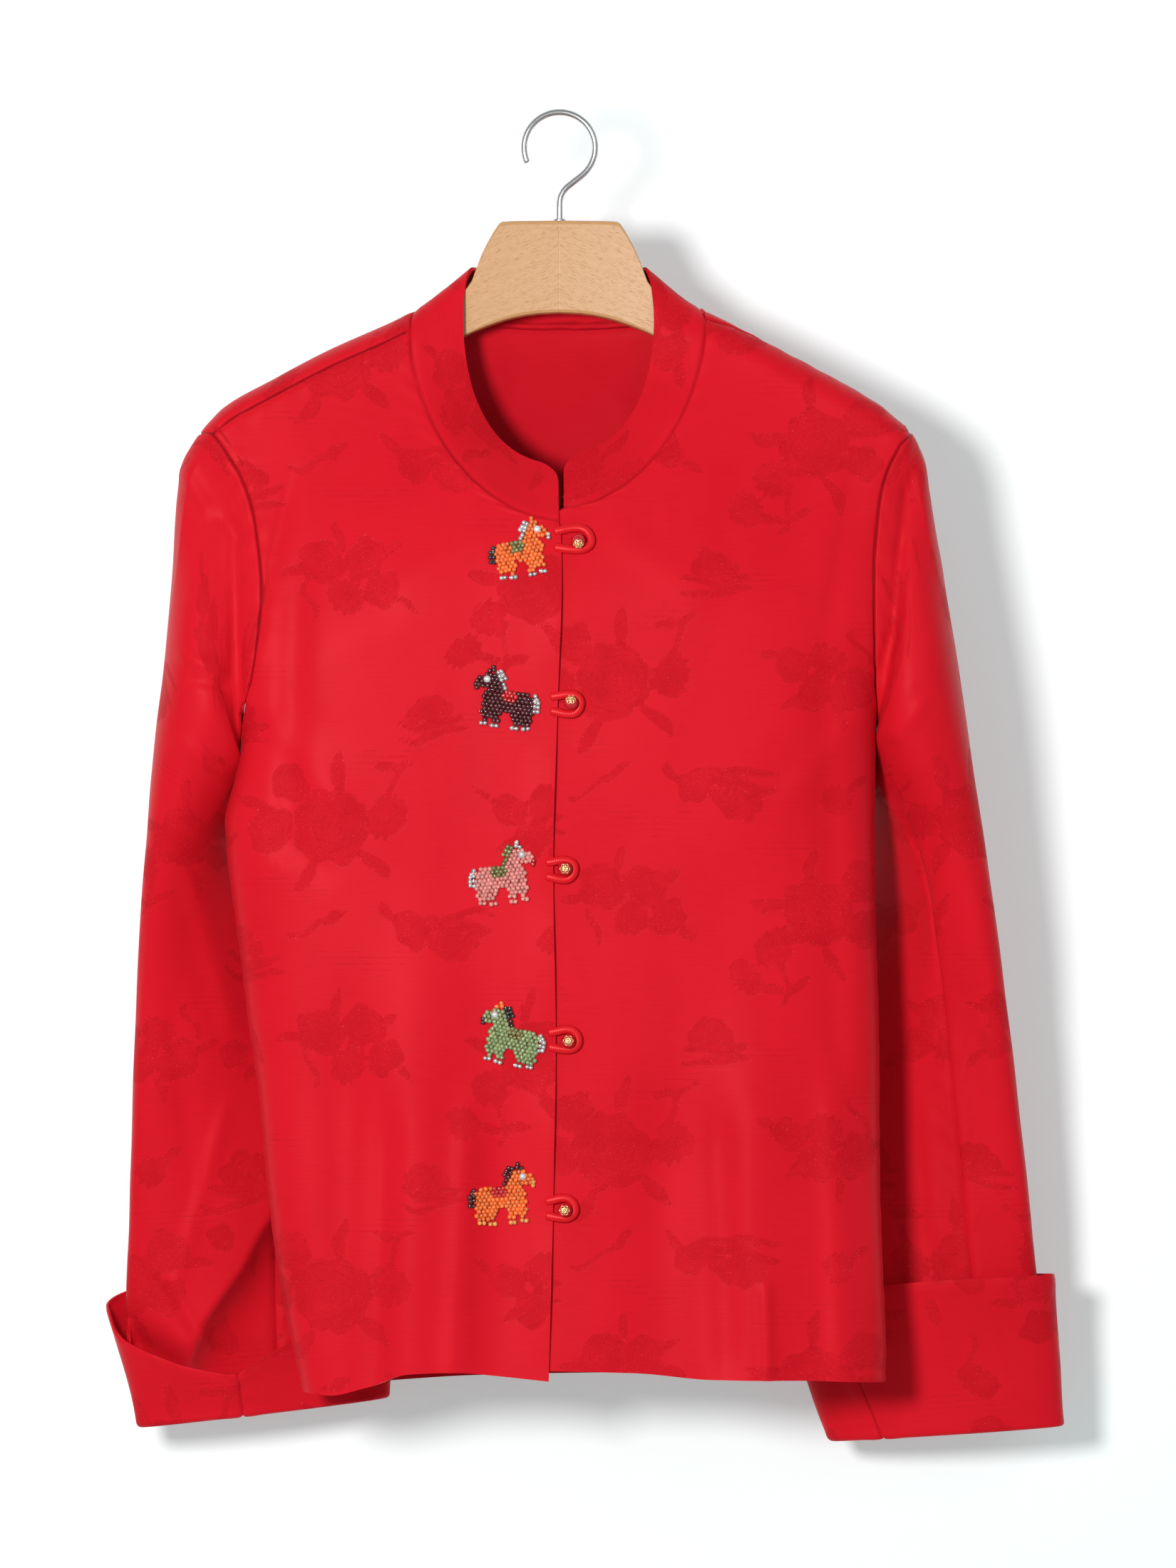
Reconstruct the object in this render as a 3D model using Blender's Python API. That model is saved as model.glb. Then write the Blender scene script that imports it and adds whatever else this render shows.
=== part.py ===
# A red silk jacquard jacket with a stand collar, hanging on a beech hanger.
# Metres. X runs to the viewer's right, Z up, and the front faces -Y.
# The origin is the inside of the crown of the hook, where a rail would carry it.

import math

import bpy
import numpy as np
from mathutils import Vector
from mathutils.bvhtree import BVHTree

# Cloth
WALL = 0.0013
COLLAR_WALL = 0.0022
CUFF_WALL = 0.0016
SEAM = 0.0003
OVERLAP_LIFT = 0.0021
LIFT_WIDTH = 0.060
LIFT_FROM = -0.20
LIFT_EASE = 0.03
UNDERLAP_X = -0.0115

# Shape of the hung body
ARCH = 0.016
ARCH_SHARE = 0.33
SETTLE = 0.18
FLATNESS = 2.6
EDGE_FLATNESS = 6.0
SHOULDER_FORWARD = 0.012
HALF_SHOULDER = 0.19

# Rows and columns of the cloth grids
SIDE_ROWS = 12
FRONT_ARM_ROWS = 10
BACK_ARM_ROWS = 12
NECK_ROWS = 9
FRONT_COLUMNS = 9
BACK_NECK_COLUMNS = 10
COLLAR_ROWS = 4
NECK_SPACING = 1.5
COLUMN_CROWDING = 0.9
HEM_GUESS = -0.715
ARM_SPACING = 1.5

# Hanger and hook
HANGER_HALF_THICKNESS = 0.0088
HANGER_TIP_THICKNESS = 0.0108
HANGER_TIP = 0.189
HANGER_GAP = 0.0021
HANGER_ROUND_FROM = 0.172
HANGER_TIP_BLUNT = 0.0006
HANGER_TIP_RISE = 0.2
HANGER_SIDES = 12
HANGER_SQUARENESS = 0.9
# Out from the middle and z: the top of the neck block and the foot; then where the top follows the cloth
HANGER_NECK = (
    (0.0, -0.0597), (0.022, -0.0602), (0.034, -0.0625), (0.041, -0.0745), (0.047, -0.0905), (0.055, -0.1000),
    (0.066, -0.1090), (0.078, -0.1165),
)
HANGER_FOOT = (
    (0.0, -0.1116), (0.025, -0.1152), (0.053, -0.1250), (0.083, -0.1420), (0.13, -0.1680), (0.19, -0.2010),
)
HANGER_SHOULDER = (0.092, 0.12, 0.155, 0.19)
HANGER_STATIONS = (
    0.0, 0.012, 0.024, 0.034, 0.041, 0.047, 0.058, 0.070, 0.084, 0.105, 0.130, 0.155, 0.172, 0.182, 0.187,
    HANGER_TIP,
)
WIRE_RADIUS = 0.0018
WIRE_SIDES = 8
HOOK_RADIUS = 0.0200
# x and z of the shank above the wood, and the turns in degrees between which the crown's arc runs
SHANK = ((0.0, -0.0520), (0.0012, -0.0455), (0.0052, -0.0400))
CROWN_FROM = -52
CROWN_TO = 205
CROWN_STEPS = 22

# Buttons
BALL_RADIUS = 0.0040
CAP_RADIUS = 0.0029
CAP_NOTCH = 0.80
CAP_THICKNESS = 0.0008
CAP_BOSS = 0.0005
BALL_STAND = 0.0023
LOOP_RADIUS = 0.0018
LOOP_GAP = 0.0005
LOOP_EDGE_GAP = 0.0016
LOOP_PINCH = 0.86
LOOP_LEG = 0.97
MOTIF_THICKNESS = 0.0022
MOTIF_GAP = 0.0006

# Height of the shoulder ridge, x outward and z
LEFT_RIDGE = (
    (0.0, -0.1035), (0.050, -0.1045), (0.070, -0.1070), (0.083, -0.1112), (0.0948, -0.1168),
    (0.130, -0.1328), (0.1604, -0.1488), (0.1884, -0.1648), (0.2032, -0.1808),
)
RIGHT_RIDGE = (
    (0.0, -0.1035), (0.050, -0.1045), (0.070, -0.1070), (0.082, -0.1108), (0.0948, -0.1168),
    (0.1244, -0.1328), (0.1544, -0.1488), (0.1808, -0.1648), (0.2000, -0.1815),
)

# Half width of the body, z and distance from the middle
LEFT_WIDTH = (
    (-0.720, 0.1433), (-0.700, 0.1480), (-0.650, 0.1580), (-0.600, 0.1640), (-0.550, 0.1690),
    (-0.511, 0.1745), (-0.473, 0.1790), (-0.439, 0.1835), (-0.413, 0.1868), (-0.399, 0.1878),
    (-0.3764, 0.1829), (-0.3626, 0.1798), (-0.348, 0.1788), (-0.330, 0.1830), (-0.300, 0.1885),
    (-0.268, 0.1930), (-0.230, 0.1990), (-0.200, 0.2080), (-0.180, 0.2170), (-0.105, 0.2320),
)
RIGHT_WIDTH = (
    (-0.720, 0.1820), (-0.700, 0.1830), (-0.650, 0.1814), (-0.600, 0.1800), (-0.550, 0.1796),
    (-0.500, 0.1788), (-0.450, 0.1774), (-0.390, 0.1771), (-0.338, 0.1777), (-0.320, 0.1796),
    (-0.300, 0.1840), (-0.268, 0.1900), (-0.230, 0.1960), (-0.200, 0.2050), (-0.180, 0.2170),
    (-0.105, 0.2320),
)

# How far the front and the back stand from the middle plane: z, front, back
DEPTHS = (
    (-0.720, 0.044, 0.022), (-0.650, 0.045, 0.025), (-0.550, 0.047, 0.031), (-0.450, 0.051, 0.038),
    (-0.350, 0.055, 0.044), (-0.250, 0.056, 0.046), (-0.100, 0.052, 0.046),
)

# Soft folds: side of the cloth, top x and z, foot x and z, half width, height (a trough is negative)
FOLDS = (
    ("front", -0.080, -0.420, -0.086, -0.760, 0.026, 0.0060),
    ("front", -0.118, -0.470, -0.121, -0.760, 0.016, -0.0055),
    ("front", -0.030, -0.520, -0.036, -0.760, 0.020, -0.0030),
    ("front", 0.112, -0.480, 0.104, -0.760, 0.024, 0.0060),
    ("front", 0.062, -0.520, 0.055, -0.760, 0.022, -0.0040),
    ("front", 0.148, -0.250, 0.156, -0.560, 0.010, -0.0030),
    ("front", -0.146, -0.230, -0.152, -0.420, 0.010, -0.0035),
    ("back", 0.000, -0.060, 0.000, -0.420, 0.070, 0.0160),
    ("back", -0.070, -0.360, -0.062, -0.760, 0.022, 0.0050),
    ("back", -0.022, -0.400, -0.020, -0.760, 0.020, -0.0045),
    ("back", 0.050, -0.380, 0.044, -0.760, 0.024, 0.0055),
    ("back", 0.108, -0.440, 0.102, -0.760, 0.020, -0.0045),
)

# Hem height of each panel: x and z
FRONT_LEFT_HEM = (
    (-0.147, -0.7180), (-0.129, -0.7192), (-0.108, -0.7143), (-0.0838, -0.7064), (-0.059, -0.7055),
    (-0.035, -0.7076), (-0.006, -0.7105),
)
FRONT_RIGHT_HEM = ((-0.012, -0.7046), (0.040, -0.7060), (0.085, -0.7096), (0.140, -0.7102), (0.182, -0.7120))
BACK_HEM = ((-0.147, -0.7180), (-0.080, -0.7130), (0.000, -0.7100), (0.090, -0.7100), (0.182, -0.7120))

# Front edge of the over panel: z and x
PLACKET = (
    (-0.712, -0.0060), (-0.610, -0.0034), (-0.520, -0.0020), (-0.424, -0.0034), (-0.330, -0.0008),
    (-0.260, 0.0014), (-0.240, 0.0010), (-0.229, -0.0002),
)

# Armhole seams from the shoulder down to the underarm: distance from the middle and z
LEFT_FRONT_ARMHOLE = (
    (0.1858, -0.1928), (0.1781, -0.2058), (0.1726, -0.2212), (0.1700, -0.2344), (0.1668, -0.2680),
    (0.1682, -0.2864), (0.1720, -0.3155), (0.1766, -0.3338), (0.1788, -0.3480),
)
LEFT_BACK_ARMHOLE = (
    (0.1920, -0.1920), (0.1840, -0.2150), (0.1785, -0.2500), (0.1765, -0.2900), (0.1770, -0.3250),
    (0.1788, -0.3480),
)
RIGHT_FRONT_ARMHOLE = (
    (0.1906, -0.1880), (0.1840, -0.2012), (0.1804, -0.2134), (0.1784, -0.2276), (0.1764, -0.2556),
    (0.1764, -0.2832), (0.1768, -0.3140), (0.1777, -0.3380),
)
RIGHT_BACK_ARMHOLE = (
    (0.1900, -0.1920), (0.1830, -0.2120), (0.1775, -0.2450), (0.1755, -0.2850), (0.1762, -0.3150),
    (0.1777, -0.3380),
)

# Where an armhole seam crosses the ridge: x and the place round the ridge
LEFT_BACK_ARM_TURN = (-0.2025, 0.0)
RIGHT_FRONT_ARM_TURN = (0.1975, 0.2)

# Shoulder seam, distance from the middle and place round the ridge (positive is in front of it)
LEFT_SHOULDER_SEAM = ((0.084, 0.76), (0.1945, 0.76))
RIGHT_SHOULDER_SEAM = ((0.082, 0.50), (0.121, 0.0), (0.1955, -0.35))

# Sleeve rings below the armhole. out, y, z: centre. long, thick: half sizes of the flattened tube.
# turn: degrees from front-to-back towards side-to-side. rise: how far the outer face stands above
# the inner one. lean: height of the front edge above the centre. keep: share of the armhole's shape.
RING_COLUMNS = ("out", "y", "z", "long", "thick", "turn", "rise", "lean", "keep")
LEFT_RINGS = (
    (0.1955, -0.0080, -0.2778, 0.0360, 0.0160, 0, 0.0747, 0.0, 0.70),
    (0.1990, -0.0050, -0.2980, 0.0440, 0.0175, 0, 0.0600, 0.0, 0.35),
    (0.2023, 0.0000, -0.3250, 0.0490, 0.0182, 2, 0.0420, 0.0, 0.10),
    (0.2065, 0.0100, -0.3590, 0.0510, 0.0185, 8, 0.0240, 0.0, 0.0),
    (0.2045, 0.0240, -0.4000, 0.0520, 0.0190, 22, 0.0080, 0.0, 0.0),
    (0.1956, 0.0370, -0.4500, 0.0550, 0.0190, 42, 0.0, 0.0, 0.0),
    (0.1853, 0.0450, -0.5000, 0.0620, 0.0190, 58, 0.0, 0.0, 0.0),
    (0.1777, 0.0490, -0.5600, 0.0680, 0.0180, 70, 0.0, -0.0010, 0.0),
    (0.1732, 0.0510, -0.6200, 0.0725, 0.0170, 78, 0.0, -0.0040, 0.0),
    (0.1725, 0.0530, -0.6700, 0.0745, 0.0170, 83, 0.0, -0.0070, 0.0),
    (0.1690, 0.0540, -0.7320, 0.0700, 0.0160, 86, 0.0, -0.0080, 0.0),
)
RIGHT_RINGS = (
    (0.1935, -0.0080, -0.2715, 0.0360, 0.0145, 0, 0.0685, 0.0, 0.70),
    (0.1970, -0.0050, -0.2920, 0.0440, 0.0165, 0, 0.0540, 0.0, 0.35),
    (0.2018, 0.0000, -0.3195, 0.0490, 0.0187, 2, 0.0365, 0.0, 0.10),
    (0.2075, 0.0090, -0.3545, 0.0510, 0.0200, 8, 0.0195, 0.0, 0.0),
    (0.2105, 0.0220, -0.4000, 0.0520, 0.0190, 22, 0.0060, 0.0, 0.0),
    (0.2078, 0.0340, -0.4500, 0.0550, 0.0190, 38, 0.0, 0.0, 0.0),
    (0.2021, 0.0420, -0.5000, 0.0610, 0.0190, 52, 0.0, 0.0, 0.0),
    (0.1988, 0.0470, -0.5600, 0.0670, 0.0180, 64, 0.0, 0.0, 0.0),
    (0.1993, 0.0500, -0.6200, 0.0705, 0.0170, 72, 0.0, 0.0010, 0.0),
    (0.2025, 0.0520, -0.6700, 0.0715, 0.0170, 78, 0.0, 0.0030, 0.0),
    (0.2195, 0.0540, -0.7440, 0.0655, 0.0160, 82, 0.0, 0.0048, 0.0),
)
RING_STEPS = 2
RING_SQUARENESS = 0.8

# Cuffs: height of the top edge above the foot, by degrees round the sleeve (90 is the outer edge)
LEFT_CUFF_TOP = (
    (0, 0.080), (45, 0.074), (90, 0.065), (130, 0.052), (172, 0.037), (196, 0.056), (230, 0.076),
    (270, 0.084), (315, 0.083), (360, 0.080),
)
RIGHT_CUFF_TOP = (
    (0, 0.086), (90, 0.0865), (150, 0.086), (194, 0.082), (212, 0.046), (230, 0.080), (270, 0.084),
    (360, 0.086),
)
CUFF_LIP = 0.0030
CUFF_FLARE = 0.0085
CUFF_GAP = 0.0024
CUFF_SEAT = 0.0005
CUFF_ROWS = 3
CUFF_FLARE_POWER = 1.3
CUFF_UNDER = 0.0003

# Neck seam: z of its foot on each front, x where it starts on the under front, where the fronts' own
# edges end, and the powers that round its front and back halves
LEFT_NECK_FOOT = -0.2296
RIGHT_NECK_FOOT = -0.2222
RIGHT_NECK_START = 0.0026
RIGHT_EDGE_TOP = -0.2345
PLACKET_TOP = -0.2290
PLACKET_FOOT = -0.7105
NECK_ROUNDING = 1.081
NECK_BACK_ROUNDING = 0.77
NECK_BACK_PLACE = 0.90

# Free edge of the collar: z at its sides, rise to the centre back, and on the left and the right its
# half width, drop to the front and x at the front
COLLAR_SIDE_Z = -0.115
COLLAR_RISE = 0.0295
COLLAR_RISE_TURN = 28
COLLAR_ROUNDING = 0.909
COLLAR_LEFT = (0.054, 0.0820, -0.0006)
COLLAR_RIGHT = (0.053, 0.0765, 0.0022)
COLLAR_DEPTH = (
    (0, -0.029), (30, -0.0215), (50, -0.0170), (70, -0.0152), (90, -0.0150), (105, -0.0095), (120, 0.003),
    (140, 0.0165), (180, 0.0275),
)
# Share of the full height at the first points from each end, and the swell between seam and edge
COLLAR_CORNER = (0.66, 0.90, 0.985)
COLLAR_SWELL = 0.0012
COLLAR_SWELL_RISE = 0.35

# Diagonal fold above the left cuff: top x and z, foot x and z, half width, depth
CUFF_FOLD = (-0.158, -0.612, -0.206, -0.686, 0.010, 0.0070)

# Buttons: ball x and z, way the cap faces (x, y, z), and how far the middle of the loop passes
# above, below and to the right of the ball's centre
BUTTONS = (
    (0.0106, -0.2414, (0.0, -0.60, -0.80), 0.0074, 0.0047, 0.0070),
    (0.0066, -0.3316, (-0.07, -0.60, 0.80), 0.0047, 0.0062, 0.0052),
    (0.0031, -0.4240, (0.03, -1.0, 0.02), 0.0047, 0.0060, 0.0054),
    (0.0050, -0.5202, (0.0, -1.0, 0.12), 0.0064, 0.0047, 0.0056),
    (0.0030, -0.6144, (-0.05, -1.0, 0.0), 0.0064, 0.0047, 0.0056),
)

# Beaded figures: centre x and z, height, turn in degrees, facing (1 right, -1 left)
MOTIFS = (
    (-0.0212, -0.2461, 0.036, 10, 1),
    (-0.0302, -0.3297, 0.038, -8, -1),
    (-0.0311, -0.4274, 0.038, 6, 1),
    (-0.0270, -0.5176, 0.038, -12, -1),
    (-0.0311, -0.6065, 0.038, 4, 1),
)
# A little horse in outline, facing right, one unit high
HORSE = (
    (0.50, 0.20), (0.46, 0.11), (0.35, 0.12), (0.27, 0.02), (0.24, -0.10), (0.38, -0.30), (0.30, -0.42),
    (0.17, -0.22), (0.00, -0.17), (-0.14, -0.20), (-0.12, -0.38), (-0.20, -0.48), (-0.30, -0.30),
    (-0.31, -0.10), (-0.48, -0.22), (-0.50, 0.02), (-0.36, 0.14), (-0.14, 0.11), (0.06, 0.12),
    (0.14, 0.30), (0.24, 0.46), (0.36, 0.40),
)

MATERIALS = {
    "jacquard": ((0.62, 0.012, 0.022), 0.42, 0.0),
    "cord": ((0.55, 0.010, 0.020), 0.40, 0.0),
    "red_ball": ((0.50, 0.006, 0.012), 0.15, 0.0),
    "gilt": ((0.80, 0.55, 0.20), 0.28, 1.0),
    "beads": ((0.55, 0.25, 0.12), 0.30, 0.0),
    "beech": ((0.70, 0.48, 0.28), 0.45, 0.0),
    "steel": ((0.62, 0.62, 0.62), 0.25, 1.0),
}


def curve_through(rows, column=1):
    """A function through the rows' points that turns nowhere between them."""
    rows = sorted(rows)
    xs = np.array([row[0] for row in rows], float)
    ys = np.array([row[column] for row in rows], float)
    steps = np.diff(xs)
    slopes = np.diff(ys) / steps
    tangents = np.concatenate([slopes[:1], np.zeros(len(slopes) - 1), slopes[-1:]])
    for i in range(1, len(slopes)):
        before, after = slopes[i - 1], slopes[i]
        if before * after > 0:
            tangents[i] = 2 * before * after / (before + after)

    def value(x):
        if x <= xs[0]:
            return float(ys[0] + tangents[0] * (x - xs[0]))
        if x >= xs[-1]:
            return float(ys[-1] + tangents[-1] * (x - xs[-1]))
        i = int(np.searchsorted(xs, x, side="right")) - 1
        t = (x - xs[i]) / steps[i]
        return float(
            ys[i] * (1 + 2 * t) * (1 - t) ** 2 + ys[i + 1] * t * t * (3 - 2 * t)
            + steps[i] * (tangents[i] * t * (1 - t) ** 2 - tangents[i + 1] * t * t * (1 - t))
        )

    return value


def smooth(t):
    t = min(max(t, 0.0), 1.0)
    return t * t * (3 - 2 * t)


class Side:
    """One half of the jacket: sign is -1 for the viewer's left and 1 for the right."""

    def __init__(self, sign, ridge, width, seam, front_hole, back_hole, rings, cuff_top):
        self.sign = sign
        self.ridge = curve_through(ridge)
        self.width = curve_through(width)
        self.seam_rows = seam
        self.seam = curve_through(seam)
        self.front_hole = front_hole
        self.back_hole = back_hole
        self.rings = rings
        self.cuff_top = curve_through(cuff_top)
        self.underarm_z = front_hole[-1][1]


LEFT = Side(
    -1, LEFT_RIDGE, LEFT_WIDTH, LEFT_SHOULDER_SEAM, LEFT_FRONT_ARMHOLE, LEFT_BACK_ARMHOLE,
    LEFT_RINGS, LEFT_CUFF_TOP,
)
RIGHT = Side(
    1, RIGHT_RIDGE, RIGHT_WIDTH, RIGHT_SHOULDER_SEAM, RIGHT_FRONT_ARMHOLE, RIGHT_BACK_ARMHOLE,
    RIGHT_RINGS, RIGHT_CUFF_TOP,
)
front_depth = curve_through(DEPTHS, 1)
back_depth = curve_through(DEPTHS, 2)
placket_x = curve_through(PLACKET)


def side_of(x):
    return LEFT if x < 0 else RIGHT


def drop_at(p):
    """How far the cloth lies below the ridge at the place p round it."""
    if abs(p) <= 1:
        return ARCH * (1 - math.cos(math.pi / 2 * p))
    return ARCH * (1 + (abs(p) - 1) * math.pi / 2)


def place_of(x, z, face):
    """The place round the ridge of a point at x and z, with face 1 in front and -1 behind."""
    drop = max(side_of(x).ridge(abs(x)) - z, 0.0)
    if drop < ARCH:
        return face * math.acos(1 - drop / ARCH) * 2 / math.pi
    return face * (1 + (drop / ARCH - 1) * 2 / math.pi)


def ridge_y(x):
    return -SHOULDER_FORWARD * (x / HALF_SHOULDER) ** 2


def fold_at(face, x, z):
    total = 0.0
    for where, top_x, top_z, foot_x, foot_z, half_width, height in FOLDS:
        if (where == "front") != (face > 0):
            continue
        t = (top_z - z) / (top_z - foot_z)
        if not 0 < t < 1:
            continue
        fade = smooth(3 * t) * smooth(4 * (1 - t) + 0.3)
        middle = top_x + (foot_x - top_x) * t
        total += height * fade * math.exp(-(((x - middle) / half_width) ** 2))
    return total


def body_point(x, p, lift=0.0):
    """A point of the body's outside, at x and the place p, with lift outward for the lap."""
    side = side_of(x)
    drop = drop_at(p)
    z = side.ridge(abs(x)) - drop
    across = min(abs(x) / side.width(z), 1.0)
    full = (1 - across**FLATNESS) ** (1 / FLATNESS)
    edge = (1 - across**EDGE_FLATNESS) ** (1 / EDGE_FLATNESS)
    arch = math.sin(math.pi / 2 * min(abs(p), 1))
    depth = front_depth(z) if p > 0 else back_depth(z)
    out = depth * (ARCH_SHARE * arch * edge + (1 - ARCH_SHARE) * smooth(drop / SETTLE) * full)
    out += fold_at(1 if p > 0 else -1, x, z) * full * arch
    out += lift
    return np.array([x, ridge_y(x) + (-out if p > 0 else out), z])


# Edges of the panels, as (x, place) pairs


def armhole_path(side, face):
    """From the underarm up to the shoulder seam, in front or behind."""
    rows = side.front_hole if face > 0 else side.back_hole
    pairs = [(side.sign * x, place_of(side.sign * x, z, face)) for x, z in rows]
    pairs.reverse()
    end_x = side.seam_rows[-1][0]
    if face < 0 and side is LEFT:
        pairs.append(LEFT_BACK_ARM_TURN)
    if face > 0 and side is RIGHT:
        pairs.append(RIGHT_FRONT_ARM_TURN)
    pairs.append((side.sign * end_x, side.seam_rows[-1][1]))
    lengths = [0.0]
    for a, b in zip(pairs, pairs[1:]):
        lengths.append(lengths[-1] + math.hypot(b[0] - a[0], (b[1] - a[1]) * ARCH * math.pi / 2))
    xs = curve_through([(l / lengths[-1], pair[0]) for l, pair in zip(lengths, pairs)])
    ps = curve_through([(l / lengths[-1], pair[1]) for l, pair in zip(lengths, pairs)])

    def at(t):
        # The rows close up towards the shoulder, where the cloth turns over the hanger.
        t = 1 - (1 - t) ** ARM_SPACING
        return xs(t), ps(t)

    return at


def side_edge(side, face, row, rows):
    """The outer edge of a panel, from the hem up to the shoulder seam."""
    if row <= SIDE_ROWS:
        low = hem_z(BACK_HEM, side)
        z = low + (side.underarm_z - low) * row / SIDE_ROWS
        x = side.sign * side.width(z)
        return x, place_of(x, z, face)
    return armhole_path(side, face)((row - SIDE_ROWS) / (rows - SIDE_ROWS))


def hem_z(table, side):
    hem = curve_through(table)
    z = HEM_GUESS
    for _ in range(3):
        z = hem(side.sign * side.width(z))
    return z


def neck_front(side, angle):
    """The neck seam from the centre front, at 0, to the shoulder seam, at 90 degrees."""
    start = placket_x(PLACKET_TOP) if side is LEFT else RIGHT_NECK_START
    wide = side.seam_rows[0][0]
    top_x = side.sign * wide
    top_z = side.ridge(wide) - drop_at(side.seam_rows[0][1])
    low = LEFT_NECK_FOOT if side is LEFT else RIGHT_NECK_FOOT
    x = start + (top_x - start) * math.sin(angle) ** NECK_ROUNDING
    z = top_z + (low - top_z) * math.cos(angle) ** NECK_ROUNDING
    return x, place_of(x, z, 1)


def neck_back(side, angle):
    """The neck seam from the shoulder seam, at 90 degrees, to the centre back, at 180."""
    wide, start = side.seam_rows[0]
    x = side.sign * wide * max(math.sin(angle), 0.0) ** NECK_BACK_ROUNDING
    p = start - (start + NECK_BACK_PLACE) * abs(math.cos(angle)) ** NECK_BACK_ROUNDING
    return x, p


def neck_angle(step):
    return math.pi / 2 * (step / NECK_ROWS) ** NECK_SPACING


def blend_edges(u, v, foot, top, inner, outer, corners):
    """Fills four edges, each an (x, place) pair, into one smooth patch."""
    low_in, low_out, top_in, top_out = corners
    across = (1 - v) * foot + v * top + (1 - u) * inner + u * outer
    flat = (1 - u) * (1 - v) * low_in + u * (1 - v) * low_out + (1 - u) * v * top_in + u * v * top_out
    return across - flat


def front_grid(side):
    """Outside points of a front, rows from the hem up and columns from the edge outward."""
    rows = SIDE_ROWS + FRONT_ARM_ROWS
    centre_rows = rows - NECK_ROWS - (side is RIGHT)
    hem = curve_through(FRONT_LEFT_HEM if side is LEFT else FRONT_RIGHT_HEM)
    side_x = side.sign * side.width(hem_z(BACK_HEM, side))
    edge_top = LEFT_NECK_FOOT if side is LEFT else RIGHT_EDGE_TOP

    def inner(row):
        if row > rows - NECK_ROWS - 1:
            return neck_front(side, neck_angle(row - (rows - NECK_ROWS)))
        start_x = placket_x(PLACKET_FOOT) if side is LEFT else UNDERLAP_X
        start_z = hem(start_x)
        z = start_z + (edge_top - start_z) * row / centre_rows
        x = placket_x(z) if side is LEFT else UNDERLAP_X
        return x, place_of(x, z, 1)

    def foot(u):
        start_x = inner(0)[0]
        x = start_x + (side_x - start_x) * u
        end_gap = (hem_z(BACK_HEM, side) - hem(side_x)) * smooth(8 * u - 7)
        return x, place_of(x, hem(x) + end_gap, 1)

    grid = patch(rows, FRONT_COLUMNS, seam_share, inner, lambda row: side_edge(side, 1, row, rows), foot,
                 lambda u: shoulder_pair(side, u))
    shares = [seam_share(k / FRONT_COLUMNS) for k in range(FRONT_COLUMNS + 1)]
    grid[rows] = [np.array(shoulder_pair(side, share)) for share in shares]
    return grid


def shoulder_pair(side, t):
    """The shoulder seam from the neck, at 0, out to the armhole, at 1."""
    near, far = side.seam_rows[0][0], side.seam_rows[-1][0]
    x = near + (far - near) * t
    return side.sign * x, side.seam(x)


def seam_share(t):
    """Where the columns stand: closer together towards the armhole and the side seam."""
    return math.sin(math.pi / 2 * t) ** COLUMN_CROWDING


def patch(rows, columns, spread, inner, outer, foot, top):
    pair = np.array
    corners = [pair(foot(0)), pair(foot(1)), pair(top(0)), pair(top(1))]
    grid = []
    for row in range(rows + 1):
        line = []
        for column in range(columns + 1):
            u, v = spread(column / columns), row / rows
            line.append(blend_edges(u, v, pair(foot(u)), pair(top(u)), pair(inner(row)),
                                    pair(outer(row)), corners))
        grid.append(line)
    for row in range(rows + 1):
        grid[row][0] = pair(inner(row))
        grid[row][columns] = pair(outer(row))
    return grid


def back_grid():
    """Outside points of the back, rows from the hem up and columns from left to right."""
    rows = SIDE_ROWS + BACK_ARM_ROWS
    columns = 2 * FRONT_COLUMNS + BACK_NECK_COLUMNS
    hem = curve_through(BACK_HEM)
    low_left = -LEFT.width(hem_z(BACK_HEM, LEFT))
    low_right = RIGHT.width(hem_z(BACK_HEM, RIGHT))

    def spread(u):
        swing = math.cos(math.pi * u)
        return 0.5 - 0.5 * swing * (0.9 + 0.1 * abs(swing))

    def foot(u):
        x = low_left + (low_right - low_left) * u
        return x, place_of(x, hem(x), -1)

    def top_at(column):
        if column <= FRONT_COLUMNS:
            return shoulder_pair(LEFT, seam_share((FRONT_COLUMNS - column) / FRONT_COLUMNS))
        if column >= FRONT_COLUMNS + BACK_NECK_COLUMNS:
            past = column - FRONT_COLUMNS - BACK_NECK_COLUMNS
            return shoulder_pair(RIGHT, seam_share(past / FRONT_COLUMNS))
        half = BACK_NECK_COLUMNS / 2
        step = column - FRONT_COLUMNS
        side = LEFT if step <= half else RIGHT
        share = step / half if step <= half else 2 - step / half
        return neck_back(side, math.pi / 2 * (1 + share))

    def column_place(column):
        low, high = top_at(0)[0], top_at(columns)[0]
        return (top_at(column)[0] - low) / (high - low)

    pair = np.array
    corners = [pair(foot(0)), pair(foot(1)), pair(top_at(0)), pair(top_at(columns))]
    grid = []
    for row in range(rows + 1):
        v = row / rows
        line = []
        left = pair(side_edge(LEFT, -1, row, rows))
        right = pair(side_edge(RIGHT, -1, row, rows))
        for column in range(columns + 1):
            u = column_place(column)
            even = spread(column / columns)
            mixed = even + (u - even) * smooth(1.6 * v - 0.5)
            line.append(blend_edges(mixed, v, pair(foot(mixed)), pair(top_at(column)), left, right, corners))
        line[0], line[columns] = left, right
        grid.append(line)
    grid[rows] = [pair(top_at(column)) for column in range(columns + 1)]
    return grid


def lifted(grid, side):
    points = []
    for line in grid:
        row = []
        for x, p in line:
            away = 0.0
            if side is LEFT:
                z = LEFT.ridge(abs(x)) - drop_at(p)
                below_neck = smooth((LIFT_FROM - z) / LIFT_EASE)
                away = OVERLAP_LIFT * (1 - smooth((placket_x(z) - x) / LIFT_WIDTH)) * below_neck
            row.append(body_point(x, p, away))
        points.append(row)
    return np.array(points)


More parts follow.
